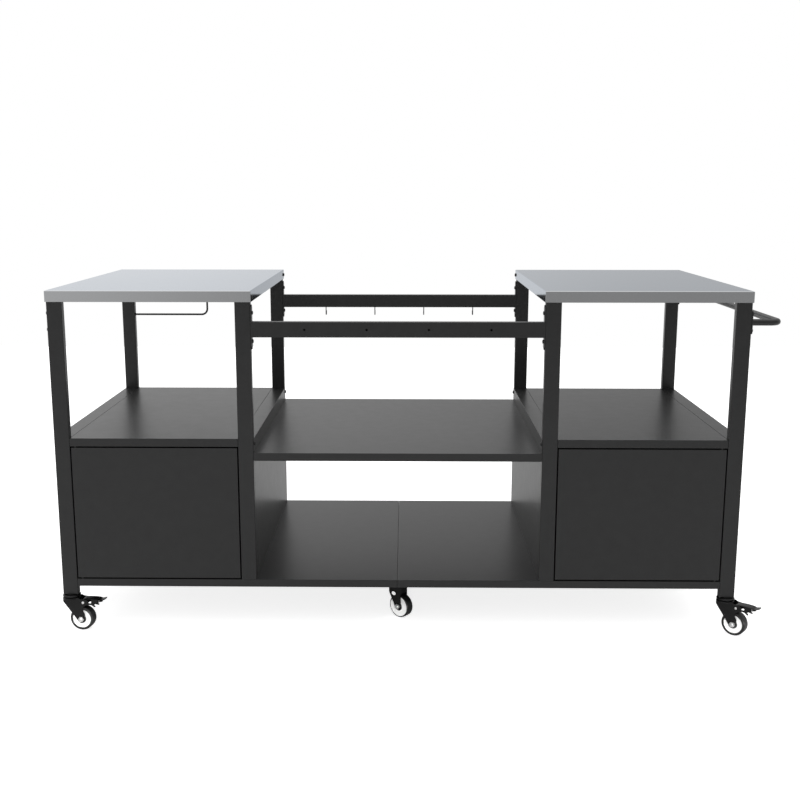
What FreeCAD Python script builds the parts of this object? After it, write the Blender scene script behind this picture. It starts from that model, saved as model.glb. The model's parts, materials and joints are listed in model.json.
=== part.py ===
import FreeCAD, Part
import math
import os
import Sketcher
from FreeCAD import Placement, Rotation, Vector

# Rolling kamado grill table: two steel cabinets with stainless worktops, tied by a base, a middle
# shelf and two crossbars that leave an open bay for the grill, all on six swivel castors.
# The origin is on the floor, under the middle of the whole outline with the push handle.
# X runs along the table, Y from the front to the back, Z up.

SIZES = {
    # overall
    "table_width": 1800.0,
    "table_depth": 760.0,
    "table_height": 915.0,
    "bay_width": 747.4,
    "side_overhang": 2.5,
    "front_overhang": 2.0,
    "fit_gap": 0.3,
    "run_gap": 0.05,
    # worktops
    "worktop_flange": 28.9,
    "worktop_sheet": 1.2,
    "worktop_bend": 2.0,
    "stiffener_width": 60.0,
    "stiffener_height": 18.0,
    "stiffener_flange": 18.0,
    "stiffener_inset": 30.0,
    # posts
    "post_width": 40.0,
    "post_depth": 20.0,
    "post_wall": 1.5,
    "post_corner": 1.2,
    "foot_plate": 3.0,
    # sheet steel trays
    "sheet": 1.0,
    "lip": 14.0,
    "base_top": 143.7,
    "base_edge": 20.5,
    "base_rear_inset": 3.0,
    "shelf_top": 529.3,
    "shelf_edge": 21.7,
    "shelf_rear_inset": 8.0,
    "shelf_front_return": 46.0,
    "mid_shelf_top": 491.6,
    "mid_shelf_edge": 21.3,
    "mid_rear_inset": 4.0,
    "upstand_bolt_drop": 13.0,
    "panel_lip": 15.0,
    "back_depth": 12.0,
    "beam_width": 60.0,
    "beam_past_castor": 45.0,
    "beam_sheet": 2.0,
    # doors
    "door_gap": 3.5,
    "door_depth": 18.0,
    "door_lip": 13.0,
    "hinge_from_edge": 10.0,
    "hinge_from_front": 7.0,
    "hinge_pin_dia": 5.0,
    "hinge_reach": 6.0,
    "hinge_collar_dia": 9.0,
    # push latches
    "latch_from_edge": 20.0,
    "latch_width": 18.0,
    "latch_height": 16.0,
    "latch_length": 34.0,
    "latch_setback": 8.0,
    "plunger_dia": 8.0,
    "plunger_length": 30.0,
    "plunger_stroke": 3.0,
    # crossbars over the bay
    "bar_height": 40.0,
    "bar_depth": 20.0,
    "bar_drop": 99.3,
    "end_plate_height": 115.0,
    "end_plate_drop": 93.5,
    "end_plate_sheet": 3.0,
    "end_plate_corner": 7.0,
    "end_bolt_spacing": 73.5,
    "hook_pitch": 159.0,
    "hook_hole_dia": 6.0,
    "hook_wire_dia": 3.0,
    "hook_standoff": 6.0,
    "hook_bend": 5.0,
    "hook_drop": 47.0,
    "hook_width": 16.0,
    "hook_lip": 13.0,
    # bolts
    "bolt_dia": 6.0,
    "bolt_head_dia": 10.5,
    "bolt_head_height": 3.2,
    "bolt_length": 12.0,
    "socket_size": 4.0,
    "worktop_bolt_drop": 15.8,
    # push handle
    "handle_reach": 82.5,
    "handle_dia": 13.0,
    "handle_bend": 24.0,
    "handle_drop": 79.3,
    "handle_bolt_pitch": 42.3,
    "handle_plate_height": 60.0,
    "handle_plate_sheet": 3.0,
    "handle_wall": 1.5,
    # rod for a paper roll
    "rod_dia": 6.0,
    "rod_drop": 144.2,
    "rod_reach": 236.0,
    "rod_bend": 18.0,
    "rod_upturn": 62.0,
    "rod_collar_dia": 12.0,
    "rod_collar_length": 6.0,
    # castors
    "castor_height": 100.4,
    "wheel_dia": 65.0,
    "wheel_width": 24.0,
    "tyre_thickness": 7.5,
    "plain_tyre_thickness": 4.0,
    "tyre_round": 3.0,
    "hub_dia": 25.0,
    "hub_proud": 1.0,
    "core_recess": 1.2,
    "axle_dia": 8.0,
    "nut_size": 13.0,
    "nut_length": 7.0,
    "fork_sheet": 2.0,
    "crown_dia": 47.5,
    "crown_top_gap": 8.7,
    "crown_thickness": 5.0,
    "crown_half_length": 19.5,
    "fork_boss_dia": 20.0,
    "stem_dia": 12.0,
    "stem_length": 16.0,
    "collar_dia": 24.0,
    "collar_height": 1.6,
    "race_height": 5.4,
    "kingpin_dia": 10.0,
    "rivet_dia": 16.0,
    "rivet_height": 2.0,
    "brake_trail": 29.0,
    "plain_trail": 13.0,
    "arm_past_axle": 23.0,
    "arm_drop": 19.0,
    "window_dia": 19.0,
    "front_left_turn": 6.0,
    "front_right_turn": 39.0,
    "middle_turn": 39.0,
    "middle_castor_inset": 113.0,
    # brake pedals
    "pivot_past_axle": 6.5,
    "pivot_drop": 21.3,
    "pivot_head_dia": 7.0,
    "pivot_head_height": 1.2,
    "pedal_length": 59.5,
    "pedal_width": 25.0,
    "pedal_sheet": 2.2,
    "pedal_hub_dia": 9.0,
    "nose_gap": 0.7,
    "pedal_travel": 18.0,
}

doc = FreeCAD.newDocument("KamadoGrillTable")
sheet = doc.addObject("Spreadsheet::Sheet", "Sizes")
for row, (alias, value) in enumerate(SIZES.items(), start=1):
    sheet.set(f"A{row}", alias)
    sheet.set(f"B{row}", str(value))
    sheet.setAlias(f"B{row}", alias)
doc.recompute()


class Named:
    """Gives each size as the expression that reads it, so Z.sheet is Sizes.sheet."""

    def __getattr__(self, alias):
        if alias not in SIZES:
            raise AttributeError(alias)
        return f"Sizes.{alias}"


Z = Named()
nodes = []


def number(expression):
    """The value that an expression of the sheet's sizes has now."""
    return float(sheet.evalExpression(str(expression)))


# places that several pieces share, each worked out from the sizes
CENTRE_X = f"(({Z.crown_dia} / 2 - {Z.post_width} / 2 - {Z.handle_reach}) / 2)"
WORKTOP_WIDTH = f"(({Z.table_width} - {Z.bay_width}) / 2)"
WORKTOP_X = f"(({Z.table_width} + {Z.bay_width}) / 4)"
OUTER_FACE = f"({Z.table_width} / 2 - {Z.side_overhang})"
OUTER_POST_X = f"({OUTER_FACE} - {Z.post_width} / 2)"
BAY_FACE = f"({Z.bay_width} / 2 + {Z.side_overhang})"
INNER_POST_X = f"({BAY_FACE} + {Z.post_width} / 2)"
CABINET_LOW = f"({BAY_FACE} + {Z.post_width})"
CABINET_HIGH = f"({OUTER_FACE} - {Z.post_width})"
CABINET_X = f"(({CABINET_LOW} + {CABINET_HIGH}) / 2)"
CABINET_WIDTH = f"({CABINET_HIGH} - {CABINET_LOW})"
FRONT_FACE = f"({Z.table_depth} / 2 - {Z.front_overhang})"
POST_Y = f"({FRONT_FACE} - {Z.post_depth} / 2)"
PANEL_LENGTH = f"(2 * ({FRONT_FACE} - {Z.post_depth}))"
POST_TOP = f"({Z.table_height} - {Z.worktop_sheet})"
BASE_BOTTOM = f"({Z.base_top} - {Z.base_edge})"
SHELF_BOTTOM = f"({Z.shelf_top} - {Z.shelf_edge})"
DOOR_BOTTOM = f"({Z.base_top} + {Z.door_gap})"
DOOR_HEIGHT = f"({SHELF_BOTTOM} - {Z.base_top} - 2 * {Z.door_gap})"
DOOR_WIDTH = f"({CABINET_WIDTH} - 2 * {Z.door_gap})"
HINGE_X = f"({CABINET_HIGH} - {Z.door_gap} - {Z.hinge_from_edge})"
HINGE_Y = f"(0 - {FRONT_FACE} + {Z.hinge_from_front})"
LATCH_X = f"({CABINET_LOW} + {Z.door_gap} + {Z.latch_from_edge})"
LATCH_Z = f"({SHELF_BOTTOM} - {Z.latch_height} / 2)"
DOOR_BACK = f"({FRONT_FACE} - {Z.door_depth})"
BAR_Z = f"({Z.table_height} - {Z.bar_drop})"
END_PLATE_Z = f"({Z.table_height} - {Z.end_plate_drop})"
HANDLE_Z = f"({Z.table_height} - {Z.handle_drop})"
ROD_Z = f"({Z.table_height} - {Z.rod_drop})"
UPSTAND_BOLT_Z = f"({Z.shelf_top} - {Z.upstand_bolt_drop})"
WORKTOP_BOLT_Z = f"({Z.table_height} - {Z.worktop_bolt_drop})"
WHEEL_R = f"({Z.wheel_dia} / 2)"
HUB_HALF = f"({Z.wheel_width} / 2 + {Z.hub_proud})"
FORK_INNER = f"({HUB_HALF} + {Z.fit_gap})"
FORK_OUTER = f"({FORK_INNER} + {Z.fork_sheet})"
CROWN_TOP = f"({Z.castor_height} - {Z.crown_top_gap})"
CROWN_BOTTOM = f"({CROWN_TOP} - {Z.crown_thickness})"
PIVOT_X = f"({Z.brake_trail} + {Z.pivot_past_axle})"
PIVOT_Z = f"({Z.castor_height} - {Z.pivot_drop})"
ARM_X = f"({Z.brake_trail} + {Z.arm_past_axle})"
MIDDLE_CASTOR_Y = f"({FRONT_FACE} - {Z.middle_castor_inset})"
BEAM_LENGTH = f"(2 * ({MIDDLE_CASTOR_Y} + {Z.beam_past_castor}))"


def new_body(label):
    body = doc.addObject("PartDesign::Body", label)
    body.Label = label
    return body


def place(piece, x, y, z, turn="0"):
    """Puts a piece where the table has it, turned about the vertical."""
    piece.Placement = Placement(Vector(), Rotation(Vector(0, 0, 1), 1))
    piece.setExpression("Placement.Base.x", f"{CENTRE_X} + ({x})")
    piece.setExpression("Placement.Base.y", y)
    piece.setExpression("Placement.Base.z", z)
    piece.setExpression("Placement.Rotation.Angle", turn)


def keep(piece):
    """Counts a finished piece among those that are written as nodes."""
    nodes.append(piece)
    return piece


def sketch(body, name, role, offset="0"):
    drawing = body.newObject("Sketcher::SketchObject", name)
    plane = next(item for item in body.Origin.OriginFeatures if item.Role == role)
    drawing.AttachmentSupport = [(plane, "")]
    drawing.MapMode = "FlatFace"
    drawing.setExpression("AttachmentOffset.Base.z", offset)
    return drawing


def bind(drawing, kind, places, expression):
    """Adds a dimension to a sketch and ties it to an expression."""
    index = drawing.addConstraint(Sketcher.Constraint(kind, *places, number(expression)))
    name = f"size_{index}"
    drawing.renameConstraint(index, name)
    drawing.setExpression(f"Constraints.{name}", expression)


def outline(drawing, points):
    """A closed outline of straight lines through points given as pairs of expressions."""
    first = drawing.GeometryCount
    count = len(points)
    spots = [Vector(number(x), number(y), 0) for x, y in points]
    for index in range(count):
        line = Part.LineSegment(spots[index], spots[(index + 1) % count])
        drawing.addGeometry(line, False)
    for index in range(count):
        after = first + (index + 1) % count
        drawing.addConstraint(Sketcher.Constraint("Coincident", first + index, 2, after, 1))
    for index, (x, y) in enumerate(points):
        bind(drawing, "DistanceX", (-1, 1, first + index, 1), x)
        bind(drawing, "DistanceY", (-1, 1, first + index, 1), y)


def rectangle(drawing, width, height, x="0", y="0"):
    """A rectangle of the given size about its centre."""
    left = f"({x}) - ({width}) / 2"
    right = f"({x}) + ({width}) / 2"
    low = f"({y}) - ({height}) / 2"
    high = f"({y}) + ({height}) / 2"
    outline(drawing, [(left, low), (right, low), (right, high), (left, high)])


def circle(drawing, diameter, x="0", y="0"):
    index = drawing.GeometryCount
    centre = Vector(number(x), number(y), 0)
    drawing.addGeometry(Part.Circle(centre, Vector(0, 0, 1), number(diameter) / 2), False)
    bind(drawing, "Diameter", (index,), diameter)
    bind(drawing, "DistanceX", (-1, 1, index, 3), x)
    bind(drawing, "DistanceY", (-1, 1, index, 3), y)


def hexagon(drawing, across, x="0", y="0"):
    """A regular hexagon, its width across the flats given, with a corner to each side."""
    flat = f"({across} / 2)"
    point = f"({across} / sqrt(3))"
    outline(drawing, [
        (f"{x} + {point}", y),
        (f"{x} + {point} / 2", f"{y} + {flat}"),
        (f"{x} - {point} / 2", f"{y} + {flat}"),
        (f"{x} - {point}", y),
        (f"{x} - {point} / 2", f"{y} - {flat}"),
        (f"{x} + {point} / 2", f"{y} - {flat}"),
    ])


def pad(body, drawing, length, name, side="One side", backwards=False):
    """Adds the sketched section, one way along its normal or half to each side."""
    feature = body.newObject("PartDesign::Pad", name)
    feature.Profile = drawing
    feature.SideType = side
    feature.Reversed = backwards
    feature.setExpression("Length", length)
    drawing.Visibility = False
    doc.recompute()
    return feature


def pocket(body, drawing, length, name, side="One side", backwards=False):
    """Cuts the sketched section away and makes sure that it did."""
    before = body.Shape.Volume
    feature = body.newObject("PartDesign::Pocket", name)
    feature.Profile = drawing
    feature.SideType = side
    feature.Reversed = backwards
    feature.setExpression("Length", length)
    doc.recompute()
    if body.Shape.Volume >= before:
        raise RuntimeError(f"{body.Label}: {name} removed nothing")
    return feature


def revolve(body, drawing, axis, name):
    feature = body.newObject("PartDesign::Revolution", name)
    feature.Profile = drawing
    feature.ReferenceAxis = (drawing, [axis])
    feature.Angle = 360
    doc.recompute()
    return feature


def round_edges(body, radius, name, wanted):
    """Rounds the edges of the body's last feature for which wanted(edge) is true."""
    doc.recompute()
    base = body.Tip
    edges = base.Shape.Edges
    names = [f"Edge{index}" for index, edge in enumerate(edges, start=1) if wanted(edge)]
    if not names:
        raise RuntimeError(f"{body.Label}: {name} finds no edge")
    feature = body.newObject("PartDesign::Fillet", name)
    feature.Base = (base, names)
    feature.setExpression("Radius", radius)
    doc.recompute()
    return feature


def runs_along(edge, axis):
    """True for a straight edge along the axis numbered 0 for X, 1 for Y and 2 for Z."""
    if not isinstance(edge.Curve, Part.Line):
        return False
    return abs(abs(edge.Curve.Direction[axis]) - 1) < 1e-6


def at(value, target):
    return abs(value - number(target)) < 1e-4


def folded_pan(body, width, length, height, gauge, lip, front_lip=None):
    """A pan of folded sheet, closed on top, open below between the lips turned in round its rim.

    It lies with its rim on the body's own XY plane, centred on its origin."""
    front_lip = front_lip or lip
    block = sketch(body, "outside", "XY_Plane")
    rectangle(block, width, length)
    pad(body, block, height, "block")
    mouth = sketch(body, "mouth", "XY_Plane")
    mouth_length = f"{length} - {lip} - {front_lip}"
    rectangle(mouth, f"{width} - 2 * {lip}", mouth_length, "0", f"({front_lip} - {lip}) / 2")
    pocket(body, mouth, gauge, "open_rim", backwards=True)
    inside = sketch(body, "inside", "XY_Plane", gauge)
    rectangle(inside, f"{width} - 2 * {gauge}", f"{length} - 2 * {gauge}")
    pocket(body, inside, f"{height} - 2 * {gauge}", "hollow", backwards=True)


def bored(body, diameter, spots, role, offset, depth, name):
    """Round holes through one wall, their axis square to the plane, half to each side of it."""
    drawing = sketch(body, name + "_centres", role, offset)
    for x, y in spots:
        circle(drawing, diameter, x, y)
    pocket(body, drawing, depth, name, side="Symmetric")


def bent_spine(drawing, corners, radius):
    """A line through corners that turn square, with an arc of the radius at each inner corner."""
    spots = [Vector(number(x), number(y), 0) for x, y in corners]
    bend = number(radius)
    steps = [(b - a).normalize() for a, b in zip(spots, spots[1:])]
    start = spots[0]
    pieces = []
    for index in range(1, len(spots) - 1):
        enter = spots[index] - steps[index - 1] * bend
        leave = spots[index] + steps[index] * bend
        centre = enter + steps[index] * bend
        middle = centre + (spots[index] - centre).normalize() * bend
        pieces.append((Part.LineSegment(start, enter), None))
        pieces.append((Part.Arc(enter, middle, leave), index))
        start = leave
    pieces.append((Part.LineSegment(start, spots[-1]), None))
    for shape, _ in pieces:
        drawing.addGeometry(shape, False)
    ends = [drawing.getPoint(index, 1) for index in range(len(pieces))]
    joins = []
    for index, (shape, corner) in enumerate(pieces):
        arc_flipped = corner is not None and (ends[index] - shape.StartPoint).Length > 1e-6
        joins.append((2, 1) if arc_flipped else (1, 2))
    for index in range(len(pieces) - 1):
        leave = joins[index][1]
        enter = joins[index + 1][0]
        drawing.addConstraint(Sketcher.Constraint("Tangent", index, leave, index + 1, enter))
    for index, (shape, corner) in enumerate(pieces):
        if corner is None:
            continue
        bind(drawing, "Radius", (index,), radius)
        back, ahead = steps[corner - 1], steps[corner]
        for axis, kind in ((0, "DistanceX"), (1, "DistanceY")):
            shift = f"({ahead[axis] - back[axis]:.0f}) * {radius}"
            bind(drawing, kind, (-1, 1, index, 3), f"({corners[corner][axis]}) + {shift}")
    for index, spot in ((0, corners[0]), (len(pieces) - 1, corners[-1])):
        end = joins[index][0] if index == 0 else joins[index][1]
        bind(drawing, "DistanceX", (-1, 1, index, end), spot[0])
        bind(drawing, "DistanceY", (-1, 1, index, end), spot[1])
    return len(pieces)


def pipe(body, profile, spine, count, name, subtractive=False):
    kind = "PartDesign::SubtractivePipe" if subtractive else "PartDesign::AdditivePipe"
    feature = body.newObject(kind, name)
    feature.Profile = profile
    feature.Spine = (spine, [f"Edge{index}" for index in range(1, count + 1)])
    doc.recompute()
    return feature


def group(label, master, spots):
    """Copies of one finished piece as separate solids of a single node.

    A spot is x, y, z and the turn about the vertical, all as expressions."""
    copies = []
    for x, y, z, turn_z in spots:
        spin = Rotation(Vector(0, 0, 1), number(turn_z))
        spot = Vector(number(f"{CENTRE_X} + ({x})"), number(y), number(z))
        copy = master.Shape.copy()
        copy.Placement = Placement(spot, spin).multiply(master.Shape.Placement)
        copies.append(copy)
    piece = doc.addObject("Part::Feature", label)
    piece.Label = label
    piece.Shape = Part.makeCompound(copies)
    piece.Placement = Placement()
    return keep(piece)


SIDES = (("left", -1), ("right", 1))
ENDS = (("front", -1), ("rear", 1))


def make_worktop(name, side):
    """Stainless tray with its edges folded down round the tops of four posts."""
    body = new_body(f"worktop_{name}")
    block = sketch(body, "outside", "XY_Plane")
    rectangle(block, WORKTOP_WIDTH, Z.table_depth)
    pad(body, block, Z.worktop_flange, "block")
    round_edges(body, Z.worktop_bend, "folds", lambda edge: (
        runs_along(edge, 2) or at(edge.BoundBox.ZMin, Z.worktop_flange)))
    inside = sketch(body, "inside", "XY_Plane")
    wall = f"2 * {Z.worktop_sheet}"
    rectangle(inside, f"{WORKTOP_WIDTH} - {wall}", f"{Z.table_depth} - {wall}")
    pocket(body, inside, f"{Z.worktop_flange} - {Z.worktop_sheet}", "hollow", backwards=True)
    drop = f"{Z.worktop_flange} - {Z.worktop_bolt_drop}"
    spots = [(f"0 - {POST_Y}", drop), (POST_Y, drop)]
    face = f"{-side} * ({WORKTOP_WIDTH} - {Z.worktop_sheet}) / 2"
    bored(body, Z.bolt_dia, spots, "YZ_Plane", face, f"4 * {Z.worktop_sheet}", "bolt_holes")
    place(body, f"{side} * {WORKTOP_X}", "0", f"{Z.table_height} - {Z.worktop_flange}")
    return keep(body)


def hat_points(width, height, flange, gauge):
    """Half of a hat section is enough: the other half mirrors it."""
    half = f"({width} / 2)"
    right = [
        (f"{half} + {flange}", height),
        (f"{half} + {flange}", f"{height} - {gauge}"),
        (half, f"{height} - {gauge}"),
        (half, "0"),
    ]
    inner = [
        (f"{half} - {gauge}", gauge),
        (f"{half} - {gauge}", height),
    ]
    left = [(f"0 - ({x})", y) for x, y in reversed(right)]
    inner_left = [(f"0 - ({x})", y) for x, y in reversed(inner)]
    return right + left + inner_left + inner


def make_hat_section(label, width, height, flange, gauge, length):
    """Folded hat channel along Y, its flanges up and its closed side on the XY plane."""
    body = new_body(label)
    section = sketch(body, "section", "XZ_Plane")
    outline(section, hat_points(width, height, flange, gauge))
    pad(body, section, length, "channel", side="Symmetric")
    return body


def make_stiffeners():
    """A hat channel under each worktop, welded to the underside between the posts."""
    length = f"{Z.table_depth} - 2 * {Z.stiffener_inset}"
    width, rise = Z.stiffener_width, Z.stiffener_height
    master = make_hat_section(
        "stiffener_channel", width, rise, Z.stiffener_flange, Z.worktop_sheet, length)
    low = f"{POST_TOP} - {rise}"
    return group("worktop_stiffeners", master, [
        (f"{side} * {WORKTOP_X}", "0", low, "0") for _, side in SIDES])


def make_post(name, x, end, foot, bolts, bolt_side, inner_hole=None):
    """Rectangular steel tube; an outer post has a foot plate that takes a castor's stem."""
    body = new_body(f"post_{name}")
    height = f"({POST_TOP} - {foot})"
    wall = f"2 * {Z.post_wall}"
    tube = sketch(body, "outside", "XY_Plane")
    rectangle(tube, Z.post_width, Z.post_depth)
    pad(body, tube, height, "tube")
    round_edges(body, Z.post_corner, "corners", lambda edge: runs_along(edge, 2))
    bore = sketch(body, "bore", "XY_Plane")
    rectangle(bore, f"{Z.post_width} - {wall}", f"{Z.post_depth} - {wall}")
    pocket(body, bore, height, "hollow", backwards=True)
    if foot == Z.castor_height:
        plate = sketch(body, "foot", "XY_Plane")
        rectangle(plate, f"{Z.post_width} - {wall}", f"{Z.post_depth} - {wall}")
        pad(body, plate, Z.foot_plate, "foot_plate")
        bored(body, Z.stem_dia, [("0", "0")], "XY_Plane", "0", f"4 * {Z.foot_plate}", "stem_hole")
    depth = f"2 * {Z.post_wall}"
    face = f"{bolt_side} * ({Z.post_width} - {Z.post_wall}) / 2"
    spots = [("0", f"{level} - {foot}") for level in bolts]
    bored(body, Z.bolt_dia, spots, "YZ_Plane", face, depth, "bolt_holes")
    if inner_hole:
        face = f"{-bolt_side} * ({Z.post_width} - {Z.post_wall}) / 2"
        spots = [("0", f"{inner_hole} - {foot}")]
        bored(body, Z.rod_dia, spots, "YZ_Plane", face, depth, "rod_hole")
    place(body, x, f"{end} * {POST_Y}", foot)
    return keep(body)


HANDLE_BOLTS = [
    f"({HANDLE_Z} - {Z.handle_bolt_pitch} / 2)",
    f"({HANDLE_Z} + {Z.handle_bolt_pitch} / 2)",
]
PLATE_BOLTS = [
    f"({END_PLATE_Z} - {Z.end_bolt_spacing} / 2)",
    f"({END_PLATE_Z} + {Z.end_bolt_spacing} / 2)",
]
INNER_BOLTS = PLATE_BOLTS + [UPSTAND_BOLT_Z, WORKTOP_BOLT_Z]


def make_posts():
    for side_name, side in SIDES:
        for end_name, end in ENDS:
            rod_hole = ROD_Z if (side, end) == (-1, 1) else None
            make_post(f"outer_{side_name}_{end_name}", f"{side} * {OUTER_POST_X}", end,
                      Z.castor_height, HANDLE_BOLTS, side, rod_hole)
            make_post(f"inner_{side_name}_{end_name}", f"{side} * {INNER_POST_X}", end,
                      Z.base_top, INNER_BOLTS, -side)


def make_base_panel(name, side):
    """Half of the base: a pan from the middle seam to the outer posts, with a hinge pin's hole."""
    body = new_body(f"base_panel_{name}")
    width = f"({CABINET_HIGH} - {Z.fit_gap})"
    length = f"(2 * {FRONT_FACE} - {Z.base_rear_inset})"
    folded_pan(body, width, length, Z.base_edge, Z.sheet, Z.lip)
    middle_x = f"({Z.fit_gap} / 2 + {width} / 2)"
    middle_y = f"(0 - {Z.base_rear_inset} / 2)"
    spots = [(f"{side} * ({HINGE_X} - {middle_x})", f"{HINGE_Y} - {middle_y}")]
    bored(body, Z.hinge_pin_dia, spots, "XY_Plane", Z.base_edge, f"4 * {Z.sheet}", "pin_hole")
    place(body, f"{side} * {middle_x}", middle_y, BASE_BOTTOM)
    return keep(body)


def make_centre_beam():
    """Square-cut tube under the seam of the base, which carries the two middle castors."""
    body = new_body("centre_beam")
    height = f"({BASE_BOTTOM} - {Z.castor_height})"
    middle = f"{height} / 2"
    wall = f"2 * {Z.beam_sheet}"
    tube = sketch(body, "outside", "XZ_Plane")
    rectangle(tube, Z.beam_width, height, "0", middle)
    pad(body, tube, BEAM_LENGTH, "tube", side="Symmetric")
    bore = sketch(body, "bore", "XZ_Plane")
    rectangle(bore, f"{Z.beam_width} - {wall}", f"{height} - {wall}", "0", middle)
    pocket(body, bore, BEAM_LENGTH, "hollow", side="Symmetric")
    spots = [("0", f"{end} * {MIDDLE_CASTOR_Y}") for _, end in ENDS]
    bored(body, Z.stem_dia, spots, "XY_Plane", "0", f"3 * {Z.beam_sheet}", "stem_holes")
    place(body, "0", "0", Z.castor_height)
    return keep(body)


def make_side_panel(label, x, foot, turn):
    """Cabinet side: a deep channel between the front and rear posts, its lips turned inwards."""
    body = new_body(label)
    width = Z.post_width
    height = f"({Z.shelf_top} - {foot})"
    half_height = f"{height} / 2"
    block = sketch(body, "outside", "XZ_Plane")
    rectangle(block, width, height, "0", half_height)
    pad(body, block, PANEL_LENGTH, "block", side="Symmetric")
    inside = sketch(body, "inside", "XZ_Plane")
    clear = f"2 * {Z.sheet}"
    rectangle(inside, f"{width} - {clear}", f"{height} - {clear}", "0", half_height)
    pocket(body, inside, PANEL_LENGTH, "hollow", side="Symmetric")
    mouth = sketch(body, "mouth", "XZ_Plane")
    open_height = f"{height} - 2 * {Z.panel_lip}"
    rectangle(mouth, f"4 * {Z.sheet}", open_height, f"{width} / 2", half_height)
    pocket(body, mouth, PANEL_LENGTH, "open_side", side="Symmetric")
    place(body, x, "0", foot, turn)
    return keep(body)


def make_side_shelf(name, side):
    """Cabinet top: a pan whose front edge stands between the posts and turns back underneath."""
    body = new_body(f"side_shelf_{name}")
    width = f"({CABINET_WIDTH} - 2 * {Z.fit_gap})"
    length = f"(2 * {FRONT_FACE} - {Z.shelf_rear_inset})"
    folded_pan(body, width, length, Z.shelf_edge, Z.sheet, Z.lip, Z.shelf_front_return)
    middle_y = f"(0 - {Z.shelf_rear_inset} / 2)"
    spots = [(f"{side} * ({HINGE_X} - {CABINET_X})", f"{HINGE_Y} - {middle_y}")]
    bored(body, Z.hinge_pin_dia, spots, "XY_Plane", "0", f"4 * {Z.sheet}", "pin_hole")
    place(body, f"{side} * {CABINET_X}", middle_y, SHELF_BOTTOM)
    return keep(body)


def make_mid_shelf():
    """Shelf under the grill, with an upstand each side that is bolted to the inner posts."""
    body = new_body("mid_shelf")
    width = f"(2 * {BAY_FACE})"
    length = f"(2 * {FRONT_FACE} - {Z.mid_rear_inset})"
    folded_pan(body, width, length, Z.mid_shelf_edge, Z.sheet, Z.lip)
    rise = f"({Z.shelf_top} - {Z.mid_shelf_top})"
    upstands = sketch(body, "upstand_feet", "XY_Plane", Z.mid_shelf_edge)
    wall_x = f"({width} - {Z.sheet}) / 2"
    rectangle(upstands, Z.sheet, length, wall_x)
    rectangle(upstands, Z.sheet, length, f"0 - ({wall_x})")
    pad(body, upstands, rise, "upstands")
    middle_y = f"(0 - {Z.mid_rear_inset} / 2)"
    foot = f"({Z.mid_shelf_top} - {Z.mid_shelf_edge})"
    spots = [(f"{end} * {POST_Y} - {middle_y}", f"{UPSTAND_BOLT_Z} - {foot}") for _, end in ENDS]
    for side_name, side in SIDES:
        bored(body, Z.bolt_dia, spots, "YZ_Plane", f"{side} * ({wall_x})",
              f"4 * {Z.sheet}", f"bolt_holes_{side_name}")
    place(body, "0", middle_y, foot)
    return keep(body)


def make_back_panel(name, side):
    """Shallow pan that closes the back of a cabinet between the rear posts."""
    body = new_body(f"back_panel_{name}")
    width = f"({CABINET_WIDTH} - 2 * {Z.fit_gap})"
    height = f"({SHELF_BOTTOM} - {Z.base_top})"
    block = sketch(body, "outside", "XZ_Plane")
    rectangle(block, width, height, "0", f"{height} / 2")
    pad(body, block, Z.back_depth, "block")
    inside = sketch(body, "inside", "XZ_Plane", Z.back_depth)
    rim = f"2 * {Z.sheet}"
    rectangle(inside, f"{width} - {rim}", f"{height} - {rim}", "0", f"{height} / 2")
    pocket(body, inside, f"{Z.back_depth} - {Z.sheet}", "hollow")
    rear = f"({FRONT_FACE} - {Z.shelf_rear_inset})"
    place(body, f"{side} * {CABINET_X}", rear, Z.base_top)
    return keep(body)


def make_door(name, side):
    """Folded door, flush with the posts, that turns on pins near its outer edge."""
    body = new_body(f"door_{name}")
    middle = f"{-side} * ({DOOR_WIDTH} / 2 - {Z.hinge_from_edge})"
    rise = f"{DOOR_HEIGHT} / 2"
    front = Z.hinge_from_front
    block = sketch(body, "outside", "XZ_Plane", front)
    rectangle(block, DOOR_WIDTH, DOOR_HEIGHT, middle, rise)
    pad(body, block, Z.door_depth, "block", backwards=True)
    back = f"{front} - {Z.door_depth}"
    mouth = sketch(body, "mouth", "XZ_Plane", back)
    rim = f"2 * {Z.door_lip}"
    rectangle(mouth, f"{DOOR_WIDTH} - {rim}", f"{DOOR_HEIGHT} - {rim}", middle, rise)
    pocket(body, mouth, Z.sheet, "open_back", backwards=True)
    inside = sketch(body, "inside", "XZ_Plane", f"{back} + {Z.sheet}")
    rim = f"2 * {Z.sheet}"
    rectangle(inside, f"{DOOR_WIDTH} - {rim}", f"{DOOR_HEIGHT} - {rim}", middle, rise)
    pocket(body, inside, f"{Z.door_depth} - {rim}", "hollow", backwards=True)
    bore = f"{Z.hinge_pin_dia} + 2 * {Z.run_gap}"
    for level_name, level in (("bottom", "0"), ("top", DOOR_HEIGHT)):
        bored(body, bore, [("0", "0")], "XY_Plane", level, f"4 * {Z.sheet}", f"pin_hole_{level_name}")
    place(body, f"{side} * {HINGE_X}", HINGE_Y, DOOR_BOTTOM)
    return keep(body)


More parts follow.
